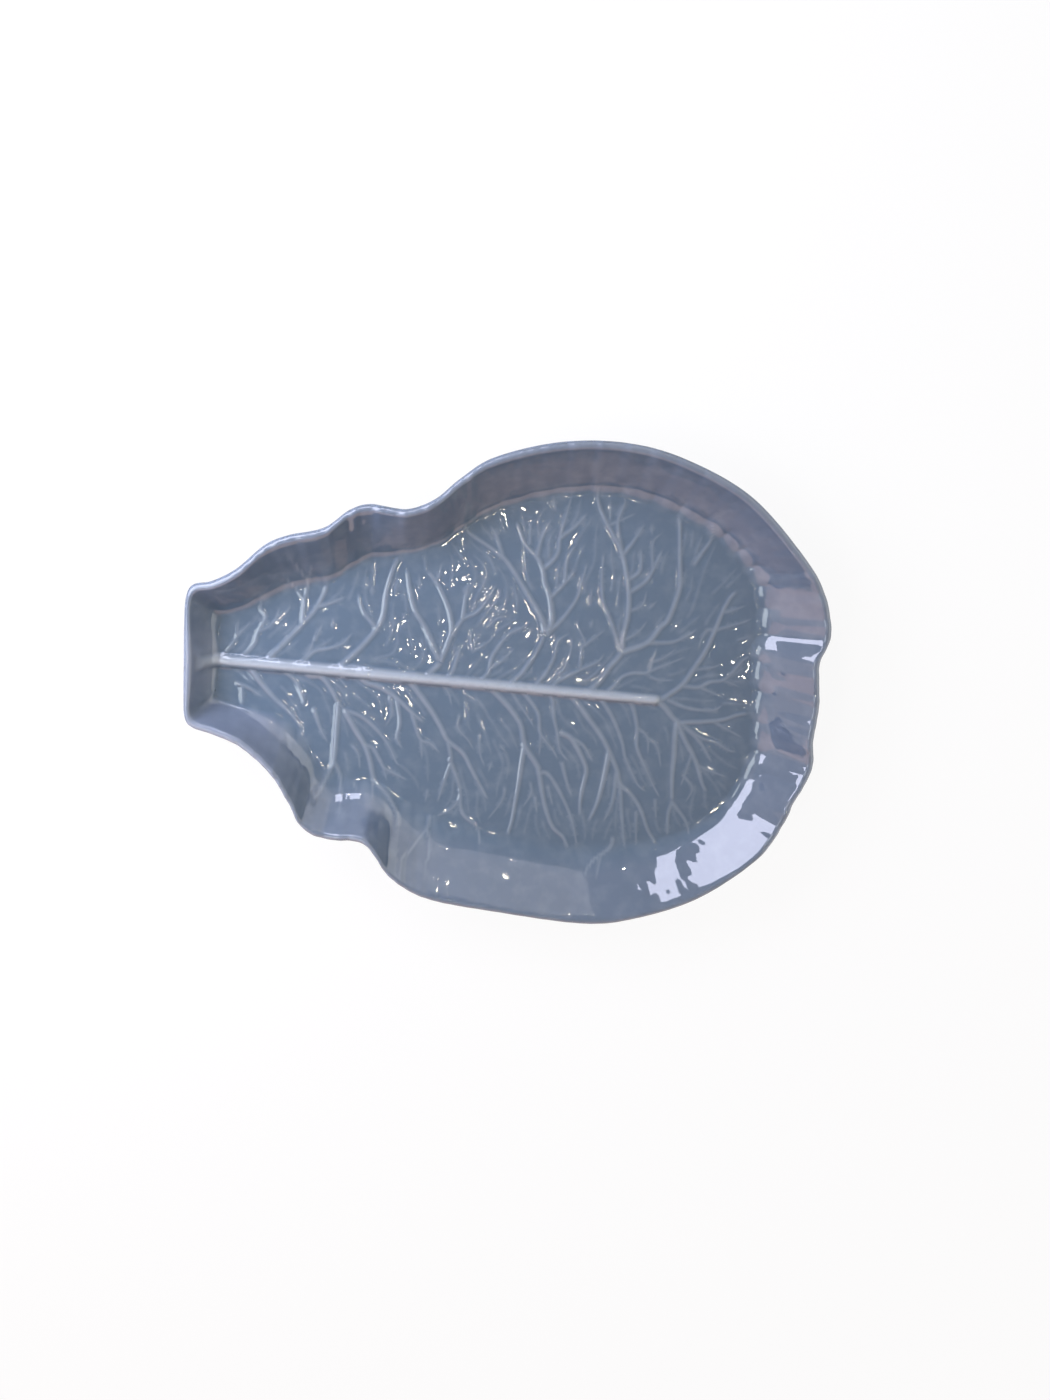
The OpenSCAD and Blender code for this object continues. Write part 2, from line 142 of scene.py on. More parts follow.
# Routes of the veins over the well, in pixels of the photograph, each from its root outwards.
SIDE_VEIN_PIXELS: tuple[Route, ...] = (
    ((276, 651), (292, 635), (308, 618), (317, 607), (325, 592), (327, 582)),
    ((345, 662), (365, 643), (378, 627), (384, 613), (386, 595), (392, 573), (400, 555)),
    ((440, 662), (433, 645), (425, 627), (415, 610), (410, 590), (407, 568)),
    ((435, 668), (440, 662), (448, 643), (452, 628), (448, 607), (437, 583), (427, 570)),
    ((518, 677), (530, 662), (540, 645), (545, 633)),
    ((545, 633), (543, 622), (537, 610), (527, 593), (513, 570), (503, 557), (487, 545), (470, 533),
     (462, 523)),
    ((545, 633), (552, 621), (550, 598), (545, 583), (543, 570), (537, 557), (525, 543), (517, 520)),
    ((598, 683), (610, 667), (622, 652), (623, 637), (628, 615), (629, 593), (626, 570), (622, 553),
     (615, 538), (607, 523), (600, 507), (597, 492), (597, 482)),
    ((623, 652), (647, 643), (660, 628), (668, 620), (675, 603), (680, 585), (680, 557), (680, 515)),
    ((664, 698), (682, 685), (693, 670), (705, 652), (713, 635), (722, 613), (730, 598), (738, 590)),
    ((663, 705), (677, 721), (690, 722), (720, 720), (737, 715), (750, 713)),
    ((677, 721), (684, 738), (692, 753), (697, 765), (702, 783), (707, 793)),
    ((677, 721), (675, 736), (674, 753), (672, 778), (672, 802)),
    ((252, 670), (262, 683), (275, 698), (292, 715), (303, 730)),
    ((310, 675), (322, 677), (332, 690), (339, 703), (345, 710)),
    ((345, 710), (355, 728), (365, 745), (370, 760), (375, 780), (388, 795), (397, 815), (397, 830)),
    ((339, 703), (337, 723), (334, 760), (330, 770), (320, 790), (312, 802)),
    ((367, 682), (383, 688), (397, 698), (412, 712), (425, 723)),
    ((413, 685), (430, 708), (440, 725), (448, 740), (463, 753), (473, 772), (488, 800)),
    ((497, 694), (510, 708), (520, 723), (523, 737), (524, 747), (521, 767), (518, 787), (515, 803),
     (512, 820), (507, 837)),
    ((524, 745), (537, 765), (539, 773), (543, 797), (547, 813), (553, 827), (563, 837), (568, 850)),
    ((557, 732), (570, 737), (580, 753), (586, 770), (582, 790), (580, 803), (580, 817)),
    ((575, 700), (590, 720), (602, 737), (610, 753), (617, 770), (620, 783), (630, 793), (640, 808),
     (648, 830), (657, 845)),
    ((609, 753), (603, 782), (597, 803), (588, 822)),
)
BRANCH_VEIN_PIXELS: tuple[Route, ...] = (
    ((247, 652), (255, 642), (258, 632), (266, 617), (261, 608), (261, 598)),
    ((317, 607), (333, 602), (347, 596)), ((303, 620), (305, 600), (308, 583), (302, 573), (292, 560)),
    ((313, 652), (330, 648), (343, 643), (353, 632)), ((378, 629), (370, 620), (363, 610), (358, 592)),
    ((453, 635), (462, 620), (477, 612), (487, 600), (497, 583)), ((463, 619), (466, 595), (470, 580)),
    ((452, 672), (458, 655), (461, 645)), ((488, 673), (493, 655), (508, 635), (523, 627), (530, 620)),
    ((503, 557), (497, 537), (490, 525)), ((543, 570), (557, 555), (560, 538), (565, 520), (572, 495)),
    ((560, 538), (577, 525), (588, 512)), ((537, 557), (542, 537), (552, 518)),
    ((550, 598), (565, 583), (577, 568)), ((565, 583), (567, 560), (577, 543)),
    ((547, 634), (563, 618), (577, 598), (583, 578), (587, 562)),
    ((543, 677), (553, 660), (558, 642), (570, 632)), ((560, 680), (580, 670), (597, 662), (605, 653)),
    ((621, 650), (610, 618), (603, 600), (602, 573), (604, 552)),
    ((622, 553), (618, 523), (625, 503), (623, 495)), ((628, 580), (640, 570), (641, 548)),
    ((629, 593), (645, 582), (653, 570), (663, 548)), ((622, 556), (633, 542), (645, 523)),
    ((647, 643), (672, 642), (688, 635), (698, 628)),
    ((613, 687), (622, 677), (633, 673), (648, 672), (653, 658), (657, 647)),
    ((692, 567), (702, 553), (712, 537), (712, 520)),
    ((682, 686), (698, 687), (710, 682), (723, 680), (733, 672), (743, 660), (752, 655)),
    ((668, 700), (688, 708), (713, 710), (723, 704)),
    ((680, 723), (700, 737), (717, 743), (728, 750), (737, 752)), ((684, 726), (700, 742), (712, 763)),
    ((672, 802), (668, 815), (667, 837)), ((672, 802), (685, 820), (690, 837)),
    ((234, 682), (248, 687), (263, 697)), ((283, 670), (295, 680), (303, 697), (304, 708)),
    ((313, 705), (320, 727), (328, 743)),
    ((345, 710), (363, 717), (380, 733), (390, 748), (397, 763), (403, 765)),
    ((365, 745), (373, 748), (380, 760), (385, 768), (398, 775), (408, 780)),
    ((334, 760), (340, 775), (340, 808)), ((397, 698), (400, 722), (397, 738), (403, 750)),
    ((412, 712), (420, 738), (430, 743), (440, 753)), ((448, 740), (451, 760), (447, 773), (437, 803)),
    ((450, 760), (460, 790), (453, 807), (435, 817)), ((460, 790), (462, 812), (477, 828), (480, 847)),
    ((430, 817), (427, 828), (412, 847), (397, 862)), ((427, 828), (430, 847), (425, 867)),
    ((539, 773), (547, 773), (557, 787), (567, 807), (573, 825), (577, 847)),
    ((528, 698), (538, 713), (540, 732), (545, 740), (553, 750), (558, 760)),
    ((552, 698), (554, 717), (557, 732), (560, 750), (569, 762)), ((570, 737), (583, 745), (593, 762)),
    ((562, 763), (567, 783), (572, 797)), ((617, 770), (612, 803), (603, 822)),
    ((620, 783), (622, 820), (625, 850)),
    ((607, 708), (615, 723), (622, 742), (625, 757), (632, 773), (638, 785), (647, 792)),
    ((632, 705), (637, 727), (637, 747), (645, 767), (653, 785), (660, 798)),
    ((613, 835), (610, 847), (593, 860), (582, 878)),
)
TWIG_PIXELS: tuple[Route, ...] = (
    ((232, 645), (237, 636), (238, 626), (239, 618)), ((237, 636), (245, 628), (252, 620)),
    ((258, 632), (273, 623), (280, 607)), ((273, 623), (288, 610), (290, 603)), ((308, 583), (312, 563)),
    ((305, 600), (290, 582), (283, 573)), ((309, 651), (315, 635), (317, 627)), ((315, 640), (323, 623)),
    ((333, 630), (333, 617)), ((372, 597), (372, 583)), ((437, 583), (442, 562)),
    ((403, 620), (406, 610)), ((420, 589), (419, 573)), ((470, 653), (488, 642), (495, 633)),
    ((472, 651), (470, 628)), ((485, 630), (497, 618), (507, 617)), ((493, 667), (503, 660), (515, 647)),
    ((530, 543), (531, 520)), ((553, 495), (556, 512)), ((550, 682), (563, 670), (570, 653), (572, 637)),
    ((580, 668), (582, 648), (585, 642), (578, 627), (578, 618)), ((585, 645), (605, 630)),
    ((590, 629), (593, 618)), ((590, 607), (592, 587)), ((607, 526), (637, 513)),
    ((653, 570), (653, 543), (663, 532)), ((652, 523), (652, 537)), ((623, 641), (637, 633), (648, 620)),
    ((647, 610), (658, 600)), ((628, 612), (642, 605), (647, 590)), ((650, 677), (660, 680), (675, 680)),
    ((650, 671), (670, 663), (685, 657)), ((652, 662), (663, 658), (677, 648)),
    ((716, 630), (708, 630), (702, 638), (698, 650)), ((716, 630), (740, 623), (753, 618)),
    ((724, 612), (733, 610), (747, 605)), ((694, 670), (713, 667), (723, 663)), ((723, 680), (740, 687)),
    ((700, 687), (725, 698)), ((712, 721), (743, 738)), ((697, 765), (713, 772), (727, 777)),
    ((692, 753), (687, 768), (680, 787)), ((683, 775), (692, 788), (685, 803)), ((242, 684), (243, 707)),
    ((338, 677), (348, 688)), ((350, 743), (358, 753), (360, 770)), ((353, 780), (357, 793)),
    ((372, 772), (373, 803)), ((383, 765), (387, 782)), ((390, 697), (392, 713), (385, 727)),
    ((421, 740), (422, 760)), ((448, 692), (452, 707)), ((460, 712), (458, 727), (468, 740), (474, 750)),
    ((479, 733), (480, 753), (485, 767)), ((498, 743), (507, 753)), ((492, 760), (488, 773)),
    ((505, 785), (502, 800), (487, 820)), ((428, 788), (425, 803)), ((518, 702), (530, 720), (534, 728)),
    ((541, 734), (539, 757)), ((530, 780), (531, 793), (522, 808)), ((535, 797), (537, 815)),
    ((547, 783), (553, 807)), ((637, 727), (647, 737), (648, 755)), ((647, 737), (657, 747), (661, 768)),
    ((655, 800), (656, 820)), ((600, 857), (595, 880)), ((636, 812), (636, 847)),
)


def smooth_step(share: np.ndarray) -> np.ndarray:
    """Ease a share from 0 to 1."""
    s = np.clip(share, 0.0, 1.0)
    return s * s * (3 - 2 * s)


def rising(value: np.ndarray, start: float, span: float) -> np.ndarray:
    """Ease from 0 at a start to 1 at one span further on."""
    return smooth_step((value - start) / span)


def falling(value: np.ndarray, end: float, span: float) -> np.ndarray:
    """Ease from 1 at one span before an end to 0 at the end."""
    return smooth_step((end - value) / span)


def smooth_between(a: np.ndarray, b: np.ndarray, c: np.ndarray, d: np.ndarray, s: np.ndarray) -> np.ndarray:
    """Read a smooth curve from b to c at shares s of the way, where a comes before b and d after c."""
    bend = 2 * a - 5 * b + 4 * c - d
    turn = 3 * b - a - 3 * c + d
    return 0.5 * (2 * b + (c - a) * s + bend * s**2 + turn * s**3)


def unit_rows(rows: np.ndarray) -> np.ndarray:
    """Bring every direction to length 1."""
    return rows / np.linalg.norm(rows, axis=-1, keepdims=True)


def inside_loop(ring: np.ndarray, flat: np.ndarray) -> np.ndarray:
    """Tell which places lie inside a closed loop.

    Args:
        ring: X and Y of the loop's points.
        flat: X and Y of each place.

    Returns:
        True or False for each place.
    """
    inside = np.zeros(len(flat), dtype=bool)
    for (x0, y0), (x1, y1) in zip(ring, np.roll(ring, -1, axis=0)):
        between = (y0 > flat[:, 1]) != (y1 > flat[:, 1])
        if between.any():
            inside ^= between & (flat[:, 0] < (x1 - x0) * (flat[:, 1] - y0) / (y1 - y0) + x0)
    return inside


def search_tree(spots: np.ndarray) -> KDTree:
    """Make a search tree for the nearest of many places, by their X and Y."""
    tree = KDTree(len(spots))
    for i, (x, y) in enumerate(spots[:, :2].tolist()):
        tree.insert((x, y, 0.0), i)
    tree.balance()
    return tree


def raised_out(rows: np.ndarray, distance: float) -> np.ndarray:
    """Move rows of points outwards along their own surface's normal.

    Args:
        rows: Points by row and column, with the columns clockwise and the rows running outwards.
        distance: How far they move.

    Returns:
        The moved points.
    """
    across = np.roll(rows, -1, axis=1) - np.roll(rows, 1, axis=1)
    along = np.gradient(rows, axis=0)
    return rows + unit_rows(np.cross(across, along)) * distance


def linked(name: str, data: bpy.types.ID) -> bpy.types.Object:
    """Make an object from its data and link it into the scene."""
    made = bpy.data.objects.new(name, data)
    bpy.context.scene.collection.objects.link(made)
    return made


def mesh_object(
    name: str, points: np.ndarray, faces: list[Sequence[int]], edges: Iterable[Sequence[int]] = (),
) -> bpy.types.Object:
    """Make a mesh object from points in millimetres.

    Args:
        name: The object's name.
        points: Points, one row each.
        faces: Corner numbers of each face.
        edges: Point numbers of each loose edge.

    Returns:
        The object, linked into the scene.
    """
    mesh = bpy.data.meshes.new(name)
    mesh.from_pydata((points * MM).tolist(), list(edges), faces)
    mesh.update()
    return linked(name, mesh)


def add_floats(mesh: bpy.types.Mesh, name: str, values: np.ndarray) -> None:
    """Store one number for each point of a mesh.

    Args:
        mesh: The mesh.
        name: The attribute's name.
        values: A value for each point.
    """
    made = mesh.attributes.new(name, "FLOAT", "POINT")
    made.data.foreach_set("value", np.asarray(values, dtype=np.float32))


@dataclass(frozen=True)
class PhotoCamera:
    """The photograph's camera, placed over the leaf, in the leaf's millimetres."""

    focal_px: float = 1080.0
    wide_px: float = 1050.0
    high_px: float = 1400.0
    tilt: float = math.radians(18.0)
    yaw: float = math.radians(4.0)
    roll: float = math.radians(-6.5)
    distance: float = 560.0
    target: tuple[float, float, float] = (171.1, -5.5, 12.0)
    sensor_mm: float = 36.0

    def axes(self) -> tuple[np.ndarray, np.ndarray, np.ndarray]:
        """Give the camera's right, up and backward directions."""
        back = np.array([
            -math.sin(self.yaw) * math.cos(self.tilt),
            math.sin(self.tilt),
            math.cos(self.tilt) * math.cos(self.yaw),
        ])
        back /= np.linalg.norm(back)
        right = np.cross(-back, [0.0, 1.0, 0.0])
        right /= np.linalg.norm(right)
        up = np.cross(right, -back)
        c, s = math.cos(self.roll), math.sin(self.roll)
        return c * right - s * up, s * right + c * up, back

    def place(self) -> np.ndarray:
        """Give the camera's place in the leaf's frame."""
        return np.array(self.target) + self.distance * self.axes()[2]

    def on_level(self, pixels: Sequence[Pixel], height: np.ndarray) -> np.ndarray:
        """Find where the sight lines of pixels come down to given heights.

        Args:
            pixels: Pixels of the photograph.
            height: The height above the table for each pixel.

        Returns:
            Their X and Y in the leaf's frame, one row each.
        """
        right, up, back = self.axes()
        px = np.asarray(pixels, dtype=float)
        across = (px[:, 0] - self.wide_px / 2) / self.focal_px
        upward = (self.high_px / 2 - px[:, 1]) / self.focal_px
        rays = across[:, None] * right + upward[:, None] * up - back
        start = self.place()
        reach = (height - start[2]) / rays[:, 2]
        return (start + reach[:, None] * rays)[:, :2]

    def make(self, middle: np.ndarray) -> None:
        """Make the scene's camera.

        Args:
            middle: The leaf frame's place of the part's origin.
        """
        data = bpy.data.cameras.new("photo_camera")
        data.sensor_width = self.sensor_mm
        data.lens = self.focal_px / self.high_px * self.sensor_mm
        made = linked("photo_camera", data)
        turn = Matrix([list(axis) for axis in zip(*self.axes())]).to_4x4()
        made.matrix_world = Matrix.Translation(Vector((self.place() - middle) * MM)) @ turn
        bpy.context.scene.camera = made


@dataclass(frozen=True)
class LipRipple:
    """The small waves of the lip's height, in millimetres, and how unlike each other they are."""

    height: float = 0.35
    pitch: float = 12.5
    vary: float = 0.4
    vary_lobes: int = 7
    vary_phase: float = 1.0
    overtone: float = 0.4

    def heights(self, around: np.ndarray, girth: float) -> np.ndarray:
        """Give the waves.

        Args:
            around: The angle round the leaf at each column.
            girth: The way round the leaf.

        Returns:
            The height at each column.
        """
        waves = round(girth / self.pitch)
        size = 1 - self.vary + self.vary * np.sin(self.vary_lobes * around + self.vary_phase)
        swing = np.sin(waves * around) * size + self.overtone * np.sin(2 * waves * around)
        return self.height * swing


@dataclass(frozen=True)
class FootScallop:
    """The shallow scallops of the wall's foot, in millimetres, and how unlike each other they are."""

    depth: float = 1.6
    pitch: float = 15.0
    height: float = 9.0
    vary: float = 0.8
    vary_lobes: int = 5
    roundness: float = 0.7
    middle: float = 0.6

    def depths(self, around: np.ndarray, girth: float) -> np.ndarray:
        """Give the scallops.

        Args:
            around: The angle round the leaf at each column.
            girth: The way round the leaf.

        Returns:
            How far the foot of the wall bites into the well at each column.
        """
        lobes = round(girth / self.pitch)
        beat = lobes * around / 2 + self.vary * np.sin(self.vary_lobes * around)
        return self.depth * (np.abs(np.sin(beat)) ** self.roundness - self.middle)


@dataclass
class LeafSurface:
    """The leaf's lip, wall, foot and well in millimetres, with the stem end at X 0 and the midrib on Y 0.

    The pairs named from and to say where an easing starts or ends and how long it is: along X for calm_from
    and broad_from, round the leaf in rows of RIM_SHARES for the others. Ripples and scallops fade out towards
    the stem end. Ripples and flutes lose the share quieting in the quiet stretch, and scallops keep only
    narrow_share before the broad part.
    """

    length: float = 320.0
    width: float = 250.0
    rim_height: float = 32.0
    flare: float = 30.0
    floor_height: float = 8.0
    lip_thickness: float = 3.6
    wall_thickness: float = 4.2
    glaze: float = 0.45
    foot_height: float = 3.0
    foot_width: float = 4.5
    foot_inset: float = 8.0
    foot_round: float = 0.6
    foot_angles: tuple[float, ...] = (90.0, 60.0, 30.0, 0.0)
    foot_ways: Pair = (0.35, 0.7)
    spine: Pair = (0.16, 0.68)
    ripple: LipRipple = LipRipple()
    scallop: FootScallop = FootScallop()
    calm_from: Pair = (12.0, 20.0)
    quiet_from: Pair = (27.8, 1.2)
    quiet_to: Pair = (34.5, 1.5)
    quieting: float = 0.75
    broad_from: Pair = (180.0, 60.0)
    broad_to: Pair = (28.5, 3.0)
    narrow_share: float = 0.6
    columns: int = 640
    wall_rows: int = 22
    wall_crowding: float = 1.25
    lip_rows: int = 10
    back_rows: int = 10
    hidden_step: int = 3
    fine_places: int = 8000
    slope_rounds: int = 6
    soft_limit: float = 0.9
    lip: np.ndarray = field(init=False)
    edge: np.ndarray = field(init=False)
    lively: np.ndarray = field(init=False)
    run: np.ndarray = field(init=False)
    inward: np.ndarray = field(init=False)
    rise: np.ndarray = field(init=False)
    bite: np.ndarray = field(init=False)
    stand: np.ndarray = field(init=False)
    slope: np.ndarray = field(init=False)
    lip_turn: np.ndarray = field(init=False)
    top: np.ndarray = field(init=False)
    soft: np.ndarray = field(init=False)

    def __post_init__(self) -> None:
        """Work out the lip, the edge of the well and the wall's section at every column."""
        places, around, girth = self.even_places()
        self.lip, self.edge = self.outline(places)
        calm = rising(self.lip[:, 0], *self.calm_from)
        quiet = self.quieting * rising(places, *self.quiet_from) * falling(places, *self.quiet_to)
        self.lively = 1.0 - quiet
        self.lip[:, 2] += self.ripple.heights(around, girth) * calm * self.lively
        run = self.edge[:, :2] - self.lip[:, :2]
        self.run = np.linalg.norm(run, axis=1)
        self.inward = run / self.run[:, None]
        self.rise = self.lip[:, 2] - self.floor_height
        broad = self.narrow_share + (1 - self.narrow_share) * rising(self.lip[:, 0], *self.broad_from)
        self.bite = self.scallop.depths(around, girth) * calm * (broad * falling(places, *self.broad_to))
        rows, soft, stand = np.array(SOFT_FOOT).T
        self.stand = np.interp(places, rows, stand)
        self.fit_slope(np.interp(places, rows, soft))

    def even_places(self) -> tuple[np.ndarray, np.ndarray, float]:
        """Spread the columns evenly round the leaf.

        Returns:
            Each column's place in rows of RIM_SHARES, its angle round the leaf, and the way round the leaf.
        """
        fine = np.linspace(0, len(RIM_SHARES), self.fine_places, endpoint=False)
        lip, edge = self.outline(fine)
        path = (lip[:, :2] + edge[:, :2]) / 2
        steps = np.linalg.norm(np.diff(path, axis=0, append=path[:1]), axis=1)
        reach = np.concatenate([[0.0], np.cumsum(steps)])
        girth = reach[-1]
        even = np.linspace(0, girth, self.columns, endpoint=False)
        return np.interp(even, reach[:-1], fine), 2 * math.pi * even / girth, girth

    def fit_slope(self, soft: np.ndarray) -> None:
        """Lean the wall's straight slope so that it runs smoothly into the round lip.

        Args:
            soft: The soft foot's reach at each column.
        """
        radius = self.lip_thickness / 2
        self.slope = np.ones(self.columns)
        for _ in range(self.slope_rounds):
            self.lip_turn = math.pi / 2 + np.arctan(self.slope)
            self.top = self.run - radius * (1 - np.cos(self.lip_turn))
            climb = self.rise - radius + radius * np.sin(self.lip_turn)
            self.slope = climb / (self.top - self.stand)
        self.soft = np.minimum(soft, self.soft_limit * (self.top - self.stand))

    def outline(self, t: np.ndarray) -> tuple[np.ndarray, np.ndarray]:
        """Read the closed outline.

        Args:
            t: Places round the leaf, counted in rows of RIM_SHARES.

        Returns:
            The lip's outermost points and the points on the edge of the well.
        """
        rows = np.array(RIM_SHARES)
        k = np.floor(t).astype(int)
        a, b, c, d = (rows[(k + j) % len(rows)] for j in (-1, 0, 1, 2))
        read = smooth_between(a, b, c, d, (t - k)[:, None])
        lip = read[:, :3] * [self.length, self.width, self.rim_height]
        edge = np.column_stack([lip[:, :2] + read[:, 3:] * self.flare, np.full(len(t), self.floor_height)])
        return lip, edge

    def section(self, out: np.ndarray) -> tuple[np.ndarray, np.ndarray]:
        """Read the wall's section at every column.

        Args:
            out: Distance outside the edge of the well at each column.

        Returns:
            The height above the well and the slope.
        """
        past = np.clip(out - self.stand + self.soft, 0.0, None)
        bent = past < 2 * self.soft
        height = self.slope * np.where(bent, past**2 / (4 * self.soft), past - self.soft)
        return height, self.slope * np.where(bent, past / (2 * self.soft), 1.0)

    def face_rows(self) -> np.ndarray:
        """Give the clay's wall from its soft foot over the round lip to the outside, row by row."""
        start = self.stand - self.soft
        rows = []
        for share in (np.arange(self.wall_rows) / (self.wall_rows - 1)) ** self.wall_crowding:
            out = start + (self.top - start) * share
            height = self.section(out)[0]
            way = out - self.bite * smooth_step(1 - height / self.scallop.height)
            flat = self.edge[:, :2] - self.inward * way[:, None]
            rows.append(np.column_stack([flat, self.floor_height + height]))
        radius = self.lip_thickness / 2
        for turned in np.linspace(0.0, math.pi, self.lip_rows + 1)[1:]:
            angle = self.lip_turn - turned
            rows.append(np.column_stack([
                self.lip[:, :2] + self.inward * (radius * (1 - np.cos(angle)))[:, None],
                self.lip[:, 2] - radius + radius * np.sin(angle),
            ]))
        return np.stack(rows)

    def back_rows_down(self) -> np.ndarray:
        """Give the clay's outside from under the lip to the top of the foot ring, row by row."""
        start = np.maximum(self.stand - self.soft, 0.0)
        rows = []
        for share in np.linspace(1.0, 0.0, self.back_rows + 1)[1:]:
            out = start + (self.top - start) * share
            height, slope = self.section(out)
            thick = self.wall_thickness + (self.lip_thickness - self.wall_thickness) * share
            lean = np.hypot(slope, 1.0)
            rows.append(np.column_stack([
                self.edge[:, :2] - self.inward * (out + thick * slope / lean)[:, None],
                self.floor_height + height - thick / lean,
            ]))
        foot = self.drawn_in(self.foot_inset, self.foot_height)
        rows += [rows[-1] + (foot - rows[-1]) * share for share in self.foot_ways]
        return np.stack(rows + [foot])

    def glazed_rows(self) -> np.ndarray:
        """Give all rows of the clay under the outer glaze, from the well over the lip to the foot ring."""
        return np.concatenate([self.face_rows(), self.back_rows_down()])

    def hidden_rows(self) -> np.ndarray:
        """Give the same rows, thinned out, for the surfaces that the glaze hides."""
        clay = self.glazed_rows()
        return np.concatenate([
            clay[: self.wall_rows : self.hidden_step],
            clay[self.wall_rows :: self.hidden_step],
            clay[-1:],
        ])

    def drawn_in(self, distance: float, height: float) -> np.ndarray:
        """Draw the edge of the well in towards the leaf's middle.

        Args:
            distance: How far it is drawn in.
            height: Its height above the table.

        Returns:
            A point for each column.
        """
        flat = self.edge[:, :2]
        middle = np.column_stack([
            np.clip(flat[:, 0], self.spine[0] * self.length, self.spine[1] * self.length),
            np.zeros(len(flat)),
        ])
        return np.column_stack([flat - unit_rows(flat - middle) * distance, np.full(len(flat), height)])

    def foot_rows(self) -> np.ndarray:
        """Give the foot ring with its rounded corners, from its outer to its inner top, row by row."""
        wide, soft = self.foot_width, self.foot_round
        angles = np.radians(self.foot_angles)
        corners = [(soft * (1 - math.sin(a)), soft * (1 - math.cos(a))) for a in angles]
        outer = [(self.foot_inset + x, z) for x, z in corners]
        inner = [(self.foot_inset + wide - x, z) for x, z in reversed(corners)]
        rows = [self.drawn_in(x, z) for x, z in outer + inner]
        return np.stack(rows + [self.drawn_in(self.foot_inset + wide, self.foot_height)])

    def middle(self, cad_corner: Sequence[float]) -> np.ndarray:
        """Give the leaf frame's place of the part's origin.

        Args:
            cad_corner: The solid model's greatest X and Y, in metres.

        Returns:
            The place, in millimetres.
        """
        far = self.lip[:, :2].max(axis=0) + self.glaze - np.array(cad_corner[:2]) / MM
        return np.array([*far, 0.0])


class VeinSize(NamedTuple):
    """Half width and height at the root in millimetres, the share left at the end, and paleness."""

    half_width: float
    rise: float
    left: float
    pale: float


class VeinRank(VeinSize, Enum):
    """The ranks of raised lines."""

    MIDRIB = (4.2, 2.9, 0.78, 0.90)
    SIDE = (2.2, 0.78, 0.6, 0.30)
    BRANCH = (1.8, 0.55, 0.55, 0.25)
    TWIG = (1.5, 0.38, 0.55, 0.19)
    CAPILLARY = (1.6, 0.26, 0.6, 0.10)
    FLUTE = (5.5, 0.20, 1.0, 0.12)


@dataclass
class Vein:
    """One raised line: its X and Y, and its half width and height at each point, in millimetres."""

    rank: VeinRank
    points: np.ndarray
    half_width: np.ndarray
    rise: np.ndarray


@dataclass(frozen=True)
class CapillaryStyle:
    """How the capillaries between the veins grow, in millimetres.

    Each arm takes up to arm_share of the length, keeps clear of other lines and follows the nearest guides.
    Its heading wanders with a phase, a swing and a beat between wander_least and wander_most.
    """

    tries: int = 900
    length: Pair = (9.0, 36.0)
    arm_share: float = 0.6
    clear: float = 2.9
    touch: float = 0.7
    wander_least: tuple[float, ...] = (0.0, 0.05, 0.15)
    wander_most: tuple[float, ...] = (6.3, 0.28, 0.3)
    guide_every: int = 3
    guides: int = 20
    guide_softness: float = 3.0


@dataclass(frozen=True)
class FluteStyle:
    """How soft flutes run up the wall, in whole rows and columns of it and in millimetres.

    A vein that ends within vein_reach of the wall's points gets a flute with vein_share of its height. Loose
    ones stand between them, one for every loose_every columns beyond X loose_from.
    """

    rows: tuple[int, int] = (9, 16)
    least_rows: int = 4
    lean: tuple[int, int] = (-3, 4)
    widening: float = 1.5
    fading: float = 0.8
    vein_reach: float = 4.0
    vein_share: float = 0.35
    loose_every: int = 11
    loose_shift: tuple[int, int] = (0, 7)
    loose_rise: Pair = (0.4, 1.0)
    loose_row: tuple[int, int] = (2, 6)
    loose_half_width: float = 4.0
    loose_from: float = 25.0


@dataclass(frozen=True)
class WellSpacing:
    """Least distances between the points of the well's mesh, in millimetres.

    Each pair of vein_gaps is a share of a vein's half width and the distance there. The pair ground is the
    pitch of the points between the veins, along X and Y.
    """

    cell: float = 0.5
    vein_gaps: tuple[Pair, ...] = ((0.0, 0.55), (0.5, 0.55), (1.0, 0.65))
    ground: Pair = (1.4, 1.2)
    ground_gap: float = 0.9
    edge_gap: float = 0.6


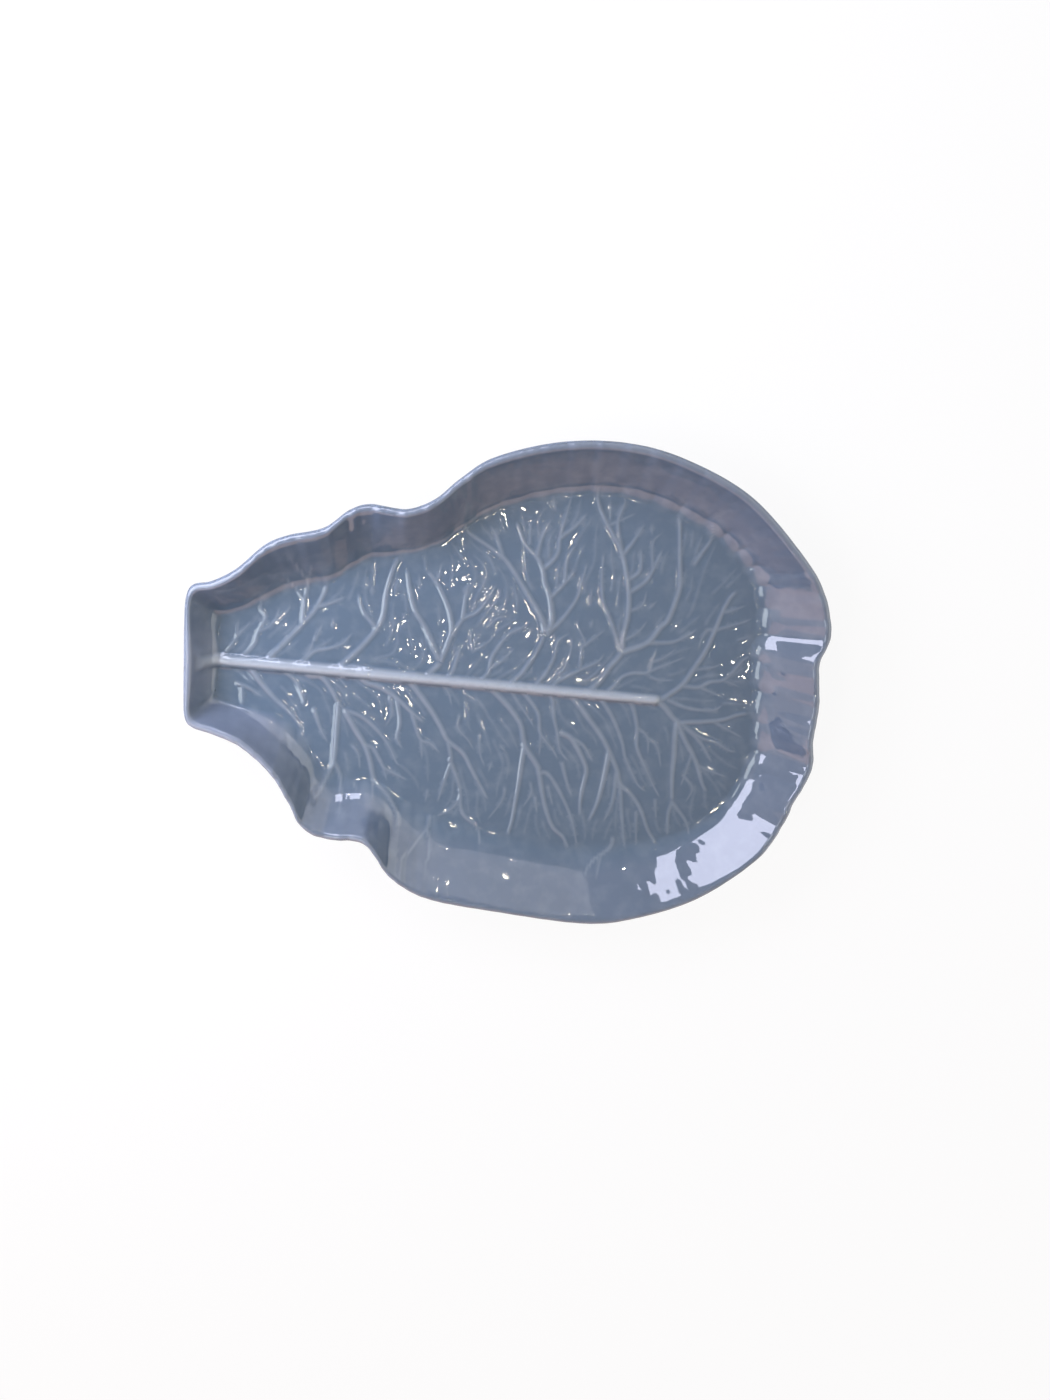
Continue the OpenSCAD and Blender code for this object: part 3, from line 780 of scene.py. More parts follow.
@dataclass
class VeinNetwork:
    """All raised lines of the face, laid out on the surface of a leaf, in millimetres.

    The midrib rises over midrib_ramps, each a share of its height, a start and a length, and runs out over
    midrib_tip. A vein whose root lies within root_reach of the midrib is led back onto it.
    """

    leaf: LeafSurface
    camera: PhotoCamera
    capillary: CapillaryStyle = CapillaryStyle()
    flute: FluteStyle = FluteStyle()
    spacing: WellSpacing = WellSpacing()
    step: float = 0.8
    midrib_line: Pair = (2.5, 243.0)
    midrib_ramps: tuple[tuple[float, float, float], ...] = ((0.45, 0.0, 4.0), (0.55, 5.0, 13.0))
    midrib_tip: Pair = (1.0, 5.0)
    root_reach: float = 9.0
    root_slant: Pair = (0.8, 2.0)
    root_longest: float = 6.0
    join_reach: float = 3.0
    fade: float = 4.0
    fade_lead: float = 0.5
    surface_rounds: int = 8
    veins: list[Vein] = field(default_factory=list)
    rng: np.random.Generator = field(init=False)
    rows: np.ndarray = field(init=False)
    ring: np.ndarray = field(init=False)
    face_tree: KDTree = field(init=False)
    ways: np.ndarray = field(init=False)
    way_tree: KDTree = field(init=False)

    def __post_init__(self) -> None:
        """Lay out the midrib, the veins, the capillaries between them and the flutes of the wall."""
        self.rng = np.random.default_rng(SEED)
        self.rows = self.leaf.face_rows()
        self.ring = self.rows[0][:, :2]
        self.face_tree = search_tree(self.rows[: self.leaf.wall_rows].reshape(-1, 3))
        self.add_midrib()
        for rank, table in (
            (VeinRank.SIDE, SIDE_VEIN_PIXELS),
            (VeinRank.BRANCH, BRANCH_VEIN_PIXELS),
            (VeinRank.TWIG, TWIG_PIXELS),
        ):
            for route in table:
                self.add_route(rank, route)
        self.add_capillaries()
        self.add_loose_flutes()

    def wall_point(self, x: float, y: float) -> tuple[int, int]:
        """Find the row and the column of the wall that are nearest to a place."""
        return divmod(self.face_tree.find((x, y, 0.0))[1], self.leaf.columns)

    def on_surface(self, pixels: Sequence[Pixel]) -> np.ndarray:
        """Find where pixels meet the leaf's face.

        Args:
            pixels: Pixels of the photograph.

        Returns:
            Their X and Y in the leaf's frame, one row each.
        """
        height = np.full(len(pixels), self.leaf.floor_height)
        for _ in range(self.surface_rounds):
            flat = self.camera.on_level(pixels, height + self.leaf.glaze)
            on_wall = ~inside_loop(self.ring, flat)
            wall = np.array([self.rows[self.wall_point(x, y)][2] for x, y in flat])
            height = (height + np.where(on_wall, wall, self.leaf.floor_height)) / 2
        return flat

    def spline(self, points: np.ndarray) -> np.ndarray:
        """Run a smooth line through points.

        Args:
            points: A few points.

        Returns:
            Points on the line, one step apart.
        """
        padded = np.vstack([2 * points[0] - points[1], points, 2 * points[-1] - points[-2]])
        made = []
        for a, b, c, d in zip(padded, padded[1:], padded[2:], padded[3:]):
            count = max(2, round(np.linalg.norm(c - b) / self.step))
            made.append(smooth_between(a, b, c, d, (np.arange(count) / count)[:, None]))
        return np.vstack([*made, points[-1:]])

    def add_midrib(self) -> None:
        """Lay the midrib from the foot of the stem end's wall towards the tip."""
        x = np.arange(self.midrib_line[0], self.midrib_line[1], self.step)
        share = (x - x[0]) / (x[-1] - x[0])
        size = 1 - (1 - VeinRank.MIDRIB.left) * share
        ramp = sum(part * rising(x - x[0], start, span) for part, start, span in self.midrib_ramps)
        beyond, span = self.midrib_tip
        ends = falling(x, x[-1] + beyond, span) * ramp
        self.veins.append(Vein(
            VeinRank.MIDRIB,
            np.column_stack([x, np.zeros_like(x)]),
            VeinRank.MIDRIB.half_width * size,
            VeinRank.MIDRIB.rise * size * ends,
        ))

    def add_route(self, rank: VeinRank, route: Route) -> None:
        """Lay one vein, with a soft flute where it runs on up the wall.

        Args:
            rank: The vein's rank.
            route: Its route in pixels.
        """
        flat = self.on_surface(route)
        rooted = abs(flat[0, 1]) < self.root_reach and flat[0, 0] < self.midrib_line[1] + self.join_reach
        if rooted:
            slant, least = self.root_slant
            back = min(self.root_longest, slant * abs(flat[0, 1]) + least)
            flat = np.vstack([[min(flat[0, 0] - back, self.midrib_line[1]), 0.0], flat])
        self.add_line(rank, self.spline(flat), joined=rooted or self.near_other(flat[0]))
        row, column = self.wall_point(*flat[-1])
        away = np.linalg.norm(self.rows[row, column, :2] - flat[-1])
        if away < self.flute.vein_reach and rank is not VeinRank.TWIG:
            self.add_flute(column, row, rank.half_width, rank.rise * self.flute.vein_share)

    def add_line(self, rank: VeinRank, line: np.ndarray, joined: bool) -> None:
        """Lay a vein along a line.

        Args:
            rank: The vein's rank.
            line: X and Y of its points.
            joined: Whether it starts on another vein, at its full height.
        """
        reach = np.concatenate([[0.0], np.cumsum(np.linalg.norm(np.diff(line, axis=0), axis=1))])
        size = 1 - (1 - rank.left) * reach / reach[-1]
        start = 1.0 if joined else smooth_step((reach + self.fade_lead) / self.fade)
        stop = smooth_step((reach[-1] - reach + self.fade_lead) / self.fade)
        self.veins.append(Vein(rank, line, rank.half_width * size, rank.rise * size * start * stop))

    def near_other(self, spot: np.ndarray) -> bool:
        """Tell whether a vein that is already laid passes close to a place."""
        nearest = (np.linalg.norm(vein.points - spot, axis=1).min() for vein in self.veins)
        return any(away < self.join_reach for away in nearest)

    def add_capillaries(self) -> None:
        """Fill the gaps between the veins with fine capillaries that run along with them."""
        style = self.capillary
        taken = PointSieve(style.clear)
        guides, ways = [], []
        for vein in self.veins:
            taken.offer(vein.points, 0.0)
            if vein.rank is not VeinRank.MIDRIB:
                guides.append(vein.points[:: style.guide_every])
                ways.append(np.gradient(vein.points, axis=0)[:: style.guide_every])
        self.ways = unit_rows(np.vstack(ways))
        self.way_tree = search_tree(np.vstack(guides))
        low, high = self.ring.min(axis=0), self.ring.max(axis=0)
        starts = self.rng.uniform(low, high, (style.tries, 2))
        for start in starts[inside_loop(self.ring, starts)]:
            if not taken.is_clear(*start, style.clear):
                continue
            arm = style.arm_share * self.rng.uniform(*style.length)
            ahead, _ = self.grown(start, 1.0, arm, style.clear, taken)
            behind, joined = self.grown(start, -1.0, arm, style.touch, taken)
            line = np.vstack([behind[::-1], ahead[1:]])
            line = line[inside_loop(self.ring, line)]
            if len(line) * self.step > style.length[0]:
                self.add_line(VeinRank.CAPILLARY, line, joined)
                taken.offer(line, 0.0)

    def grown(
        self, start: np.ndarray, sense: float, reach: float, gap: float, taken: "PointSieve",
    ) -> tuple[np.ndarray, bool]:
        """Grow a capillary along the veins round it, until it is long enough or comes near another one.

        Args:
            start: X and Y of its first point.
            sense: 1 to grow outwards, -1 towards the roots.
            reach: How long it may grow.
            gap: The distance to another vein at which it stops.
            taken: The points of all veins.

        Returns:
            X and Y of its points, and whether it stopped at another vein.
        """
        style = self.capillary
        line = [np.array(start)]
        phase, swing, beat = self.rng.uniform(style.wander_least, style.wander_most)
        for k in range(round(reach / self.step)):
            near = self.way_tree.find_n((*line[-1], 0.0), style.guides)
            weights = np.array([1.0 / (distance + style.guide_softness) ** 2 for _, _, distance in near])
            way = (self.ways[[i for _, i, _ in near]] * weights[:, None]).sum(axis=0)
            heading = math.atan2(way[1], way[0]) + swing * math.sin(phase + beat * k * self.step)
            spot = line[-1] + sense * self.step * np.array([math.cos(heading), math.sin(heading)])
            line.append(spot)
            if not taken.is_clear(*spot, gap):
                return np.array(line), True
        return np.array(line), False

    def add_flute(self, column: int, first: int, half_width: float, rise: float) -> None:
        """Run a soft flute up the wall along one column.

        Args:
            column: The column.
            first: The row that it starts at.
            half_width: Its half width at the start.
            rise: Its height at the start.
        """
        style = self.flute
        last = min(first + int(self.rng.integers(*style.rows)), self.leaf.wall_rows)
        if last - first < style.least_rows:
            return
        share = np.arange(last - first) / (last - first - 1)
        lean = int(self.rng.integers(*style.lean))
        turned = (column + np.round(lean * share).astype(int)) % self.leaf.columns
        width = half_width + (VeinRank.FLUTE.half_width - half_width) * smooth_step(share * style.widening)
        points = self.rows[np.arange(first, last), turned, :2]
        left = rise * self.leaf.lively[column] * (1 - share) ** style.fading
        self.veins.append(Vein(VeinRank.FLUTE, points, width, left))

    def add_loose_flutes(self) -> None:
        """Run soft flutes of the wall's own between the veins."""
        style = self.flute
        for column in range(0, self.leaf.columns, style.loose_every):
            if self.leaf.edge[column, 0] < style.loose_from:
                continue
            spot = (column + int(self.rng.integers(*style.loose_shift))) % self.leaf.columns
            rise = float(self.rng.uniform(*style.loose_rise)) * VeinRank.FLUTE.rise
            self.add_flute(spot, int(self.rng.integers(*style.loose_row)), style.loose_half_width, rise)

    def mesh_points(self) -> np.ndarray:
        """Give the points that the well's mesh needs so that every vein has a crisp crest and foot."""
        keep = PointSieve(self.spacing.cell)
        own = [vein for vein in self.veins if vein.rank is not VeinRank.FLUTE]
        own.sort(key=lambda vein: -vein.rank.rise)
        for share, gap in self.spacing.vein_gaps:
            for vein in own:
                way = unit_rows(np.gradient(vein.points, axis=0))
                side = np.column_stack([-way[:, 1], way[:, 0]]) * (vein.half_width * share)[:, None]
                shelves = (vein.points,) if share == 0.0 else (vein.points + side, vein.points - side)
                for shelf in shelves:
                    keep.offer(shelf, gap)
        wide, high = self.spacing.ground
        x = np.arange(0.0, self.leaf.length, wide)
        for k, y in enumerate(np.arange(self.ring[:, 1].min(), self.ring[:, 1].max(), high)):
            line = np.column_stack([x + wide / 2 * (k % 2), np.full_like(x, y)])
            keep.offer(line, self.spacing.ground_gap)
        spots = np.array(keep.kept)
        spots = spots[inside_loop(self.ring, spots)]
        edge = search_tree(self.ring)
        clear = [edge.find((*spot, 0.0))[2] > self.spacing.edge_gap for spot in spots.tolist()]
        return spots[clear]

    def object_of(self, rank: VeinRank, middle: np.ndarray) -> bpy.types.Object:
        """Make a level wire of edges from every line of a rank, with its sizes stored at its points.

        Args:
            rank: The rank.
            middle: The leaf frame's place of the part's origin.

        Returns:
            The wire's object.
        """
        own = [vein for vein in self.veins if vein.rank is rank]
        edges, start = [], 0
        for vein in own:
            edges += [(start + i, start + i + 1) for i in range(len(vein.points) - 1)]
            start += len(vein.points)
        flat = np.vstack([vein.points for vein in own]) - middle[:2]
        points = np.column_stack([flat, np.zeros(len(flat))])
        made = mesh_object(f"{rank.name.lower()}_wire", points, [], edges)
        for name in SIZE_NAMES:
            add_floats(made.data, name, np.concatenate([getattr(vein, name) for vein in own]) * MM)
        return made


class PointSieve:
    """Keeps only points of a plane that stand clear of those kept before."""

    def __init__(self, cell: float) -> None:
        """Start empty, with a given cell size for the search."""
        self.cell = cell
        self.kept: list[tuple[float, float]] = []
        self.cells: dict[tuple[int, int], list[tuple[float, float]]] = {}

    def cell_of(self, x: float, y: float) -> tuple[int, int]:
        """Give the cell that a place lies in."""
        return int(x // self.cell), int(y // self.cell)

    def is_clear(self, x: float, y: float, gap: float) -> bool:
        """Tell whether no kept point lies within a gap of a place."""
        reach = math.ceil(gap / self.cell)
        span = range(-reach, reach + 1)
        i, j = self.cell_of(x, y)
        return not any(
            (x - u) ** 2 + (y - v) ** 2 < gap * gap
            for di in span
            for dj in span
            for u, v in self.cells.get((i + di, j + dj), ())
        )

    def offer(self, points: np.ndarray, gap: float) -> None:
        """Keep those of some points that stand clear.

        Args:
            points: X and Y of each point.
            gap: The least distance to a kept point.
        """
        for x, y in points.tolist():
            if self.is_clear(x, y, gap):
                self.kept.append((x, y))
                self.cells.setdefault(self.cell_of(x, y), []).append((x, y))


class Wire:
    """A socket of a node tree that takes part in plain sums."""

    def __init__(self, nodes: "NodeMaker", socket: bpy.types.NodeSocket) -> None:
        """Hold a socket and the maker of its tree."""
        self.nodes = nodes
        self.socket = socket

    def __add__(self, other: Any) -> "Wire":
        """Add."""
        return self.nodes.math("ADD", self, other)

    def __sub__(self, other: Any) -> "Wire":
        """Take away."""
        return self.nodes.math("SUBTRACT", self, other)

    def __rsub__(self, other: Any) -> "Wire":
        """Take away from a number."""
        return self.nodes.math("SUBTRACT", other, self)

    def __mul__(self, other: Any) -> "Wire":
        """Multiply."""
        return self.nodes.math("MULTIPLY", self, other)

    def __truediv__(self, other: Any) -> "Wire":
        """Divide."""
        return self.nodes.math("DIVIDE", self, other)

    def __pow__(self, other: Any) -> "Wire":
        """Raise to a power."""
        return self.nodes.math("POWER", self, other)

    def clamped(self) -> "Wire":
        """Keep between 0 and 1."""
        return self.nodes.math("ADD", self, 0.0, use_clamp=True)

    def at_least(self, other: Any) -> "Wire":
        """Give the larger of the two."""
        return self.nodes.math("MAXIMUM", self, other)


class NodeMaker:
    """Adds nodes to a shader or geometry tree."""

    def __init__(self, tree: bpy.types.NodeTree) -> None:
        """Hold the tree."""
        self.tree = tree

    def add(
        self, kind: str, settings: dict[str, Any] | None = None, output: str | int = 0, **inputs: Any,
    ) -> Wire:
        """Add any node.

        Args:
            kind: The node's type.
            settings: Properties that are set first.
            output: The output to give back, by name or number.
            inputs: Values or wires of its inputs, by name with _ for a space, or by i and a number.

        Returns:
            The wire from the chosen output.
        """
        node = self.tree.nodes.new(kind)
        for name, value in (settings or {}).items():
            setattr(node, name, value)
        for name, value in inputs.items():
            key = int(name[1:]) if name[0] == "i" and name[1:].isdigit() else name.replace("_", " ")
            self.feed(node.inputs[key], value)
        return Wire(self, node.outputs[output])

    def feed(self, socket: bpy.types.NodeSocket, value: Any) -> None:
        """Link a wire to an input, or set its value."""
        if isinstance(value, Wire):
            self.tree.links.new(value.socket, socket)
        else:
            socket.default_value = value

    def math(self, operation: str, *values: Any, use_clamp: bool = False) -> Wire:
        """Add a Math node."""
        inputs = {f"i{k}": value for k, value in enumerate(values)}
        return self.add("ShaderNodeMath", {"operation": operation, "use_clamp": use_clamp}, **inputs)

    def vector(self, operation: str, *values: Any, **inputs: Any) -> Wire:
        """Add a Vector Math node."""
        given = {f"i{k}": value for k, value in enumerate(values)}
        return self.add("ShaderNodeVectorMath", {"operation": operation}, **given, **inputs)

    def stored(self, name: str) -> Wire:
        """Read a number that is stored at the points of a mesh."""
        return self.add(
            "GeometryNodeInputNamedAttribute", {"data_type": "FLOAT"}, output="Attribute", Name=name,
        )

    def colour_mix(self, share: Any, first: Any, second: Any) -> Wire:
        """Mix two colours by a share."""
        one, two = (value if isinstance(value, Wire) else (*value, 1.0) for value in (first, second))
        return self.add("ShaderNodeMix", {"data_type": "RGBA"}, output=2, i0=share, i6=one, i7=two)


@dataclass
class ReliefTree:
    """The geometry tree that raises the veins and flutes out of the smooth glaze.

    The blend between lines and the surface's swell are in millimetres. The glaze pools beside a line, where
    shore_at and shore_width say, as shares of its half width. The powers round off the lines' sections.
    """

    ranks: tuple[VeinRank, ...] = tuple(VeinRank)
    blend: float = 0.2
    shore_at: float = 1.1
    shore_width: float = 0.6
    swell: float = 0.22
    swell_pitch: float = 20.0
    midrib_power: float = 1.1
    vein_power: float = 1.6
    full_gain: float = 1.4

    def build(self) -> bpy.types.NodeTree:
        """Make the tree, with the wires, sizes and finish as named inputs."""
        tree = bpy.data.node_groups.new("vein_relief", "GeometryNodeTree")
        face = tree.interface
        face.new_socket("Geometry", in_out="INPUT", socket_type="NodeSocketGeometry")
        for rank in self.ranks:
            face.new_socket(self.inlet_name(rank), in_out="INPUT", socket_type="NodeSocketObject")
        for name, value in (
            ("Blend", self.blend * MM), ("Shore Width", self.shore_width),
            ("Swell", self.swell * MM), ("Swell Scale", 1 / (self.swell_pitch * MM)),
        ):
            face.new_socket(name, in_out="INPUT", socket_type="NodeSocketFloat").default_value = value
        face.new_socket("Finish", in_out="INPUT", socket_type="NodeSocketMaterial")
        face.new_socket("Geometry", in_out="OUTPUT", socket_type="NodeSocketGeometry")
        make = NodeMaker(tree)
        given = tree.nodes.new("NodeGroupInput").outputs
        inlet = {socket.name: Wire(make, socket) for socket in given if socket.name}
        height, pale, shore = self.fields(make, inlet)
        mask = make.stored("face_mask")
        noise = make.add("ShaderNodeTexNoise", Scale=inlet["Swell Scale"], Detail=0.0)
        lift = height * mask + noise * inlet["Swell"] * mask
        offset = make.vector("SCALE", make.add("GeometryNodeInputNormal"), Scale=lift)
        moved = make.add("GeometryNodeSetPosition", Geometry=inlet["Geometry"], Offset=offset)
        for name, value in (("pale", pale * mask), ("shore", shore * mask)):
            moved = make.add(
                "GeometryNodeStoreNamedAttribute", {"data_type": "FLOAT", "domain": "POINT"},
                Geometry=moved, Name=name, Value=value,
            )
        solid = make.add("GeometryNodeRealizeInstances", Geometry=moved)
        dressed = make.add("GeometryNodeSetMaterial", Geometry=solid, Material=inlet["Finish"])
        out = tree.nodes.new("NodeGroupOutput")
        make.feed(out.inputs[0], dressed)
        return tree

    def inlet_name(self, rank: VeinRank) -> str:
        """Give the name of the input that takes a rank's wire."""
        return f"{rank.name.title()} Wire"

    def fields(self, make: NodeMaker, inlet: dict[str, Wire]) -> tuple[Wire, Wire, Wire]:
        """Work out the face's height, its paleness and how near it is to a vein's foot, at each point.

        Args:
            make: The tree's node maker.
            inlet: The tree's inputs by name.

        Returns:
            The height, the paleness and the nearness.
        """
        flat = make.vector("MULTIPLY", make.add("GeometryNodeInputPosition"), (1.0, 1.0, 0.0))
        height = pale = shore = None
        for rank in self.ranks:
            wire = make.add(
                "GeometryNodeObjectInfo", {"transform_space": "ORIGINAL"}, output="Geometry",
                Object=inlet[self.inlet_name(rank)],
            )
            away = make.add(
                "GeometryNodeProximity", {"target_element": "EDGES"}, output="Distance",
                i0=wire, Sample_Position=flat,
            )
            nearest = make.add(
                "GeometryNodeSampleNearest", {"domain": "POINT"}, Geometry=wire, Sample_Position=flat,
            )
            half_width, rise = (
                make.add(
                    "GeometryNodeSampleIndex", {"data_type": "FLOAT", "domain": "POINT"},
                    Geometry=wire, Value=make.stored(name), Index=nearest,
                )
                for name in SIZE_NAMES
            )
            share = away / half_width
            dome = (1.0 - share * share).at_least(0.0)
            hump = dome ** (self.midrib_power if rank is VeinRank.MIDRIB else self.vein_power) * rise
            strength = (rise / (rank.rise * MM) * self.full_gain).clamped()
            crest = dome ** self.vein_power * strength * rank.pale
            off_foot = make.math("ABSOLUTE", share - self.shore_at) / inlet["Shore Width"]
            bank = (1.0 - off_foot).at_least(0.0) * strength * rank.pale
            height = hump if height is None else make.math("SMOOTH_MAX", height, hump, inlet["Blend"])
            pale = crest if pale is None else pale.at_least(crest)
            shore = bank if shore is None else shore.at_least(bank)
        return height.at_least(0.0), pale, shore

    def apply(
        self, piece: bpy.types.Object, wires: dict[VeinRank, bpy.types.Object], finish: bpy.types.Material,
    ) -> None:
        """Raise the veins on a piece and make the result plain mesh, without a modifier.

        Args:
            piece: The smooth piece.
            wires: The wire of each rank, which is used up.
            finish: The material to set.
        """
        tree = self.build()
        inputs = [item for item in tree.interface.items_tree if item.in_out == "INPUT"]
        keys = {item.name: item.identifier for item in inputs}
        modifier = piece.modifiers.new("relief", "NODES")
        modifier.node_group = tree
        for rank in self.ranks:
            modifier[keys[self.inlet_name(rank)]] = wires[rank]
        modifier[keys["Finish"]] = finish
        graph = bpy.context.evaluated_depsgraph_get()
        raised = piece.evaluated_get(graph)
        mesh = bpy.data.meshes.new_from_object(raised, preserve_all_data_layers=True, depsgraph=graph)
        piece.modifiers.remove(modifier)
        piece.data = mesh
        for wire in wires.values():
            bpy.data.objects.remove(wire)


@dataclass(frozen=True)
class Mottle:
    """Soft noise that lets a second colour show: its scale and detail, and how far it shows."""

    scale: float
    detail: float
    gain: float
    offset: float
    strength: float
    roughness: float = 0.5

    def noise(self, make: NodeMaker, place: Wire) -> Wire:
        """Add the noise at places."""
        return make.add(
            "ShaderNodeTexNoise",
            Vector=place, Scale=self.scale, Detail=self.detail, Roughness=self.roughness,
        )

    def share(self, noise: Wire) -> Wire:
        """Turn the noise into the share of the second colour."""
        return (noise * self.gain - self.offset).clamped() * self.strength


class Shading:
    """A new material with its node maker and its main shader."""

    def __init__(self, name: str) -> None:
        """Start the material."""
        self.material = bpy.data.materials.new(name)
        self.material.use_nodes = True
        self.make = NodeMaker(self.material.node_tree)
        self.shader = self.material.node_tree.nodes["Principled BSDF"]

    def place(self) -> Wire:
        """Read the place on the object."""
        return self.make.add("ShaderNodeTexCoord", output="Object")

    def set_roughness(self, noise: Wire, middle: float, swing: float) -> None:
        """Let the roughness swing with noise round a middle."""
        self.make.feed(self.shader.inputs["Roughness"], noise * swing + middle - swing / 2)

    def set_bump(self, height: Wire, distance: float) -> None:
        """Let a height stand out as fine bump."""
        bump = self.make.add("ShaderNodeBump", Strength=0.5, Distance=distance, Height=height)
        self.make.feed(self.shader.inputs["Normal"], bump)


@dataclass(frozen=True)
class GlazeFinish:
    """A glossy pale grey-blue glaze: thin and pale on ridges, darker where it pools, and pale on the lip,
    where that band is partly a painted highlight.

    The wall's colour, a redder and paler tint that is painted warm light and reflection, sets in between the
    heights wall_from and wall_to, in metres.
    """

    name: str = "pale_blue_glaze"
    body: Colour = (0.080, 0.127, 0.185)
    thin: Colour = (0.385, 0.430, 0.465)
    pooled: Colour = (0.062, 0.100, 0.150)
    # Painted warm light and reflection: a redder, paler tint for the walls.
    lip: Colour = (0.46, 0.49, 0.54)
    # Thin glaze on the lip, partly a painted highlight along it.
    wall: Colour = (0.107, 0.145, 0.200)
    # Painted light: a paler colour where the wall slopes most.
    steep: Colour = (0.165, 0.200, 0.262)
    wall_from: float = 0.010
    wall_to: float = 0.016
    roughness: float = 0.025
    roughness_swing: float = 0.01
    index: float = 1.6
    cloud: Mottle = Mottle(30.0, 3.0, gain=1.8, offset=0.6, strength=0.30, roughness=0.6)
    patch: Mottle = Mottle(110.0, 2.0, gain=2.2, offset=1.0, strength=0.14)
    shore_strength: float = 0.5
    wave_scale: float = 100.0
    wave_detail: float = 0.5
    pit_scale: float = 620.0
    pit_detail: float = 1.0
    pit_share: float = 0.02
    bump_distance: float = 0.0003

    def material(self) -> bpy.types.Material:
        """Make the material."""
        shading = Shading(self.name)
        make = shading.make
        place = shading.place()
        cloud = self.cloud.noise(make, place)
        patch = self.patch.noise(make, place)
        pale, shore, lip, steep = (
            make.add("ShaderNodeAttribute", {"attribute_name": name}, output="Fac")
            for name in ("pale", "shore", "lip_share", "steep_share")
        )
        height = make.add("ShaderNodeSeparateXYZ", output="Z", Vector=place)
        # Painted warm light and reflection: the walls take a redder, paler tint above wall_from.
        on_wall = ((height - self.wall_from) / (self.wall_to - self.wall_from)).clamped()
        ground = make.colour_mix(on_wall, self.body, self.wall)
        # Painted light: the wall turns paler where it slopes most.
        ground = make.colour_mix(steep, ground, self.steep)
        ground = make.colour_mix(self.cloud.share(cloud), ground, self.pooled)
        ground = make.colour_mix(self.patch.share(patch), ground, self.thin)
        ground = make.colour_mix((shore * self.shore_strength).clamped(), ground, self.pooled)
        ground = make.colour_mix(pale.clamped(), ground, self.thin)
        # The lip's pale band: thin glaze, partly a painted highlight.
        ground = make.colour_mix(lip, ground, self.lip)
        make.feed(shading.shader.inputs["Base Color"], ground)
        shading.set_roughness(cloud, self.roughness, self.roughness_swing)
        wave = make.add("ShaderNodeTexNoise", Vector=place, Scale=self.wave_scale, Detail=self.wave_detail)
        pits = make.add("ShaderNodeTexNoise", Vector=place, Scale=self.pit_scale, Detail=self.pit_detail)
        shading.set_bump(wave + pits * self.pit_share, self.bump_distance)
        shading.shader.inputs["IOR"].default_value = self.index
        return shading.material


@dataclass(frozen=True)
class BareClayFinish:
    """Matt fired clay with a fine grain, a little dirty in patches."""

    name: str = "bare_earthenware"
    clay: Colour = (0.64, 0.58, 0.49)
    dirt: Colour = (0.38, 0.33, 0.27)
    roughness: float = 0.85
    roughness_swing: float = 0.1
    grain: Mottle = Mottle(900.0, 4.0, gain=1.6, offset=0.7, strength=0.35)
    stain: Mottle = Mottle(60.0, 3.0, gain=1.8, offset=0.7, strength=0.5)
    bump_distance: float = 0.0002

    def material(self) -> bpy.types.Material:
        """Make the material."""
        shading = Shading(self.name)
        make = shading.make
        place = shading.place()
        grain = self.grain.noise(make, place)
        stain = self.stain.noise(make, place)
        share = self.stain.share(stain) + self.grain.share(grain)
        ground = make.colour_mix(share.clamped(), self.clay, self.dirt)
        make.feed(shading.shader.inputs["Base Color"], ground)
        shading.set_roughness(grain, self.roughness, self.roughness_swing)
        shading.set_bump(grain, self.bump_distance)
        return shading.material


class PieceMesh:
    """Collects rings and sheets of points, and the faces between them, for one closed piece."""

    sheet_tolerance: float = 1e-7

    def __init__(self, columns: int) -> None:
        """Start empty, for a number of columns."""
        self.columns = columns
        self.blocks: list[np.ndarray] = []
        self.faces: list[tuple[int, ...]] = []
        self.count = 0

    def points(self, block: np.ndarray) -> np.ndarray:
        """Store points and give their numbers, in the block's own layout."""
        flat = block.reshape(-1, 3)
        self.blocks.append(flat)
        numbers = np.arange(self.count, self.count + len(flat))
        self.count += len(flat)
        return numbers.reshape(block.shape[:-1])

    def skin(self, rows: np.ndarray, inward: bool = False) -> None:
        """Add the faces between rows of point numbers.

        Args:
            rows: Point numbers by row and column.
            inward: Whether the faces point the other way.
        """
        for near, far in zip(rows, rows[1:]):
            a, b = near.tolist(), far.tolist()
            for i in range(self.columns):
                j = (i + 1) % self.columns
                quad = (a[i], a[j], b[j], b[i])
                self.faces.append(quad[::-1] if inward else quad)

    def sheet(
        self, ring: np.ndarray, edge: np.ndarray, height: float,
        inner: np.ndarray = NO_SPOTS, down: bool = False,
    ) -> np.ndarray:
        """Fill a ring with a level sheet of triangles.

        Args:
            ring: Point numbers of the ring.
            edge: The ring's points.
            height: The sheet's height.
            inner: X and Y of the points inside it.
            down: Whether it faces down.

        Returns:
            The numbers of the points inside.
        """
        spots = [Vector(spot) for spot in np.vstack([edge[:, :2], inner]).tolist()]
        count = len(edge)
        loop = [(i, (i + 1) % count) for i in range(count)]
        verts, _, faces, origin, _, _ = delaunay_2d_cdt(spots, loop, [], 1, self.sheet_tolerance)
        inside = [i for i, sources in enumerate(origin) if not sources or min(sources) >= count]
        added = self.points(np.array([[verts[i].x, verts[i].y, height] for i in inside]).reshape(-1, 3))
        number = {i: int(n) for i, n in zip(inside, added)}
        for i, sources in enumerate(origin):
            if i not in number:
                number[i] = int(ring[min(sources)])
        for face in faces:
            corners = tuple(number[i] for i in face)
            self.faces.append(corners[::-1] if down else corners)
        return added

    def build(self, name: str, middle: np.ndarray) -> bpy.types.Object:
        """Make the object.

        Args:
            name: Its name.
            middle: The leaf frame's place of the part's origin.

        Returns:
            The object, shaded smooth.
        """
        made = mesh_object(name, np.vstack(self.blocks) - middle, self.faces)
        made.data.shade_smooth()
        return made


@dataclass
class PlatePiece(ABC):
    """One piece of the plate, laid out on the surface of a leaf."""

    leaf: LeafSurface

    @abstractmethod
    def build(self, middle: np.ndarray) -> bpy.types.Object:
        """Make the piece with its finish.

        Args:
            middle: The leaf frame's place of the part's origin.

        Returns:
            The piece.
        """


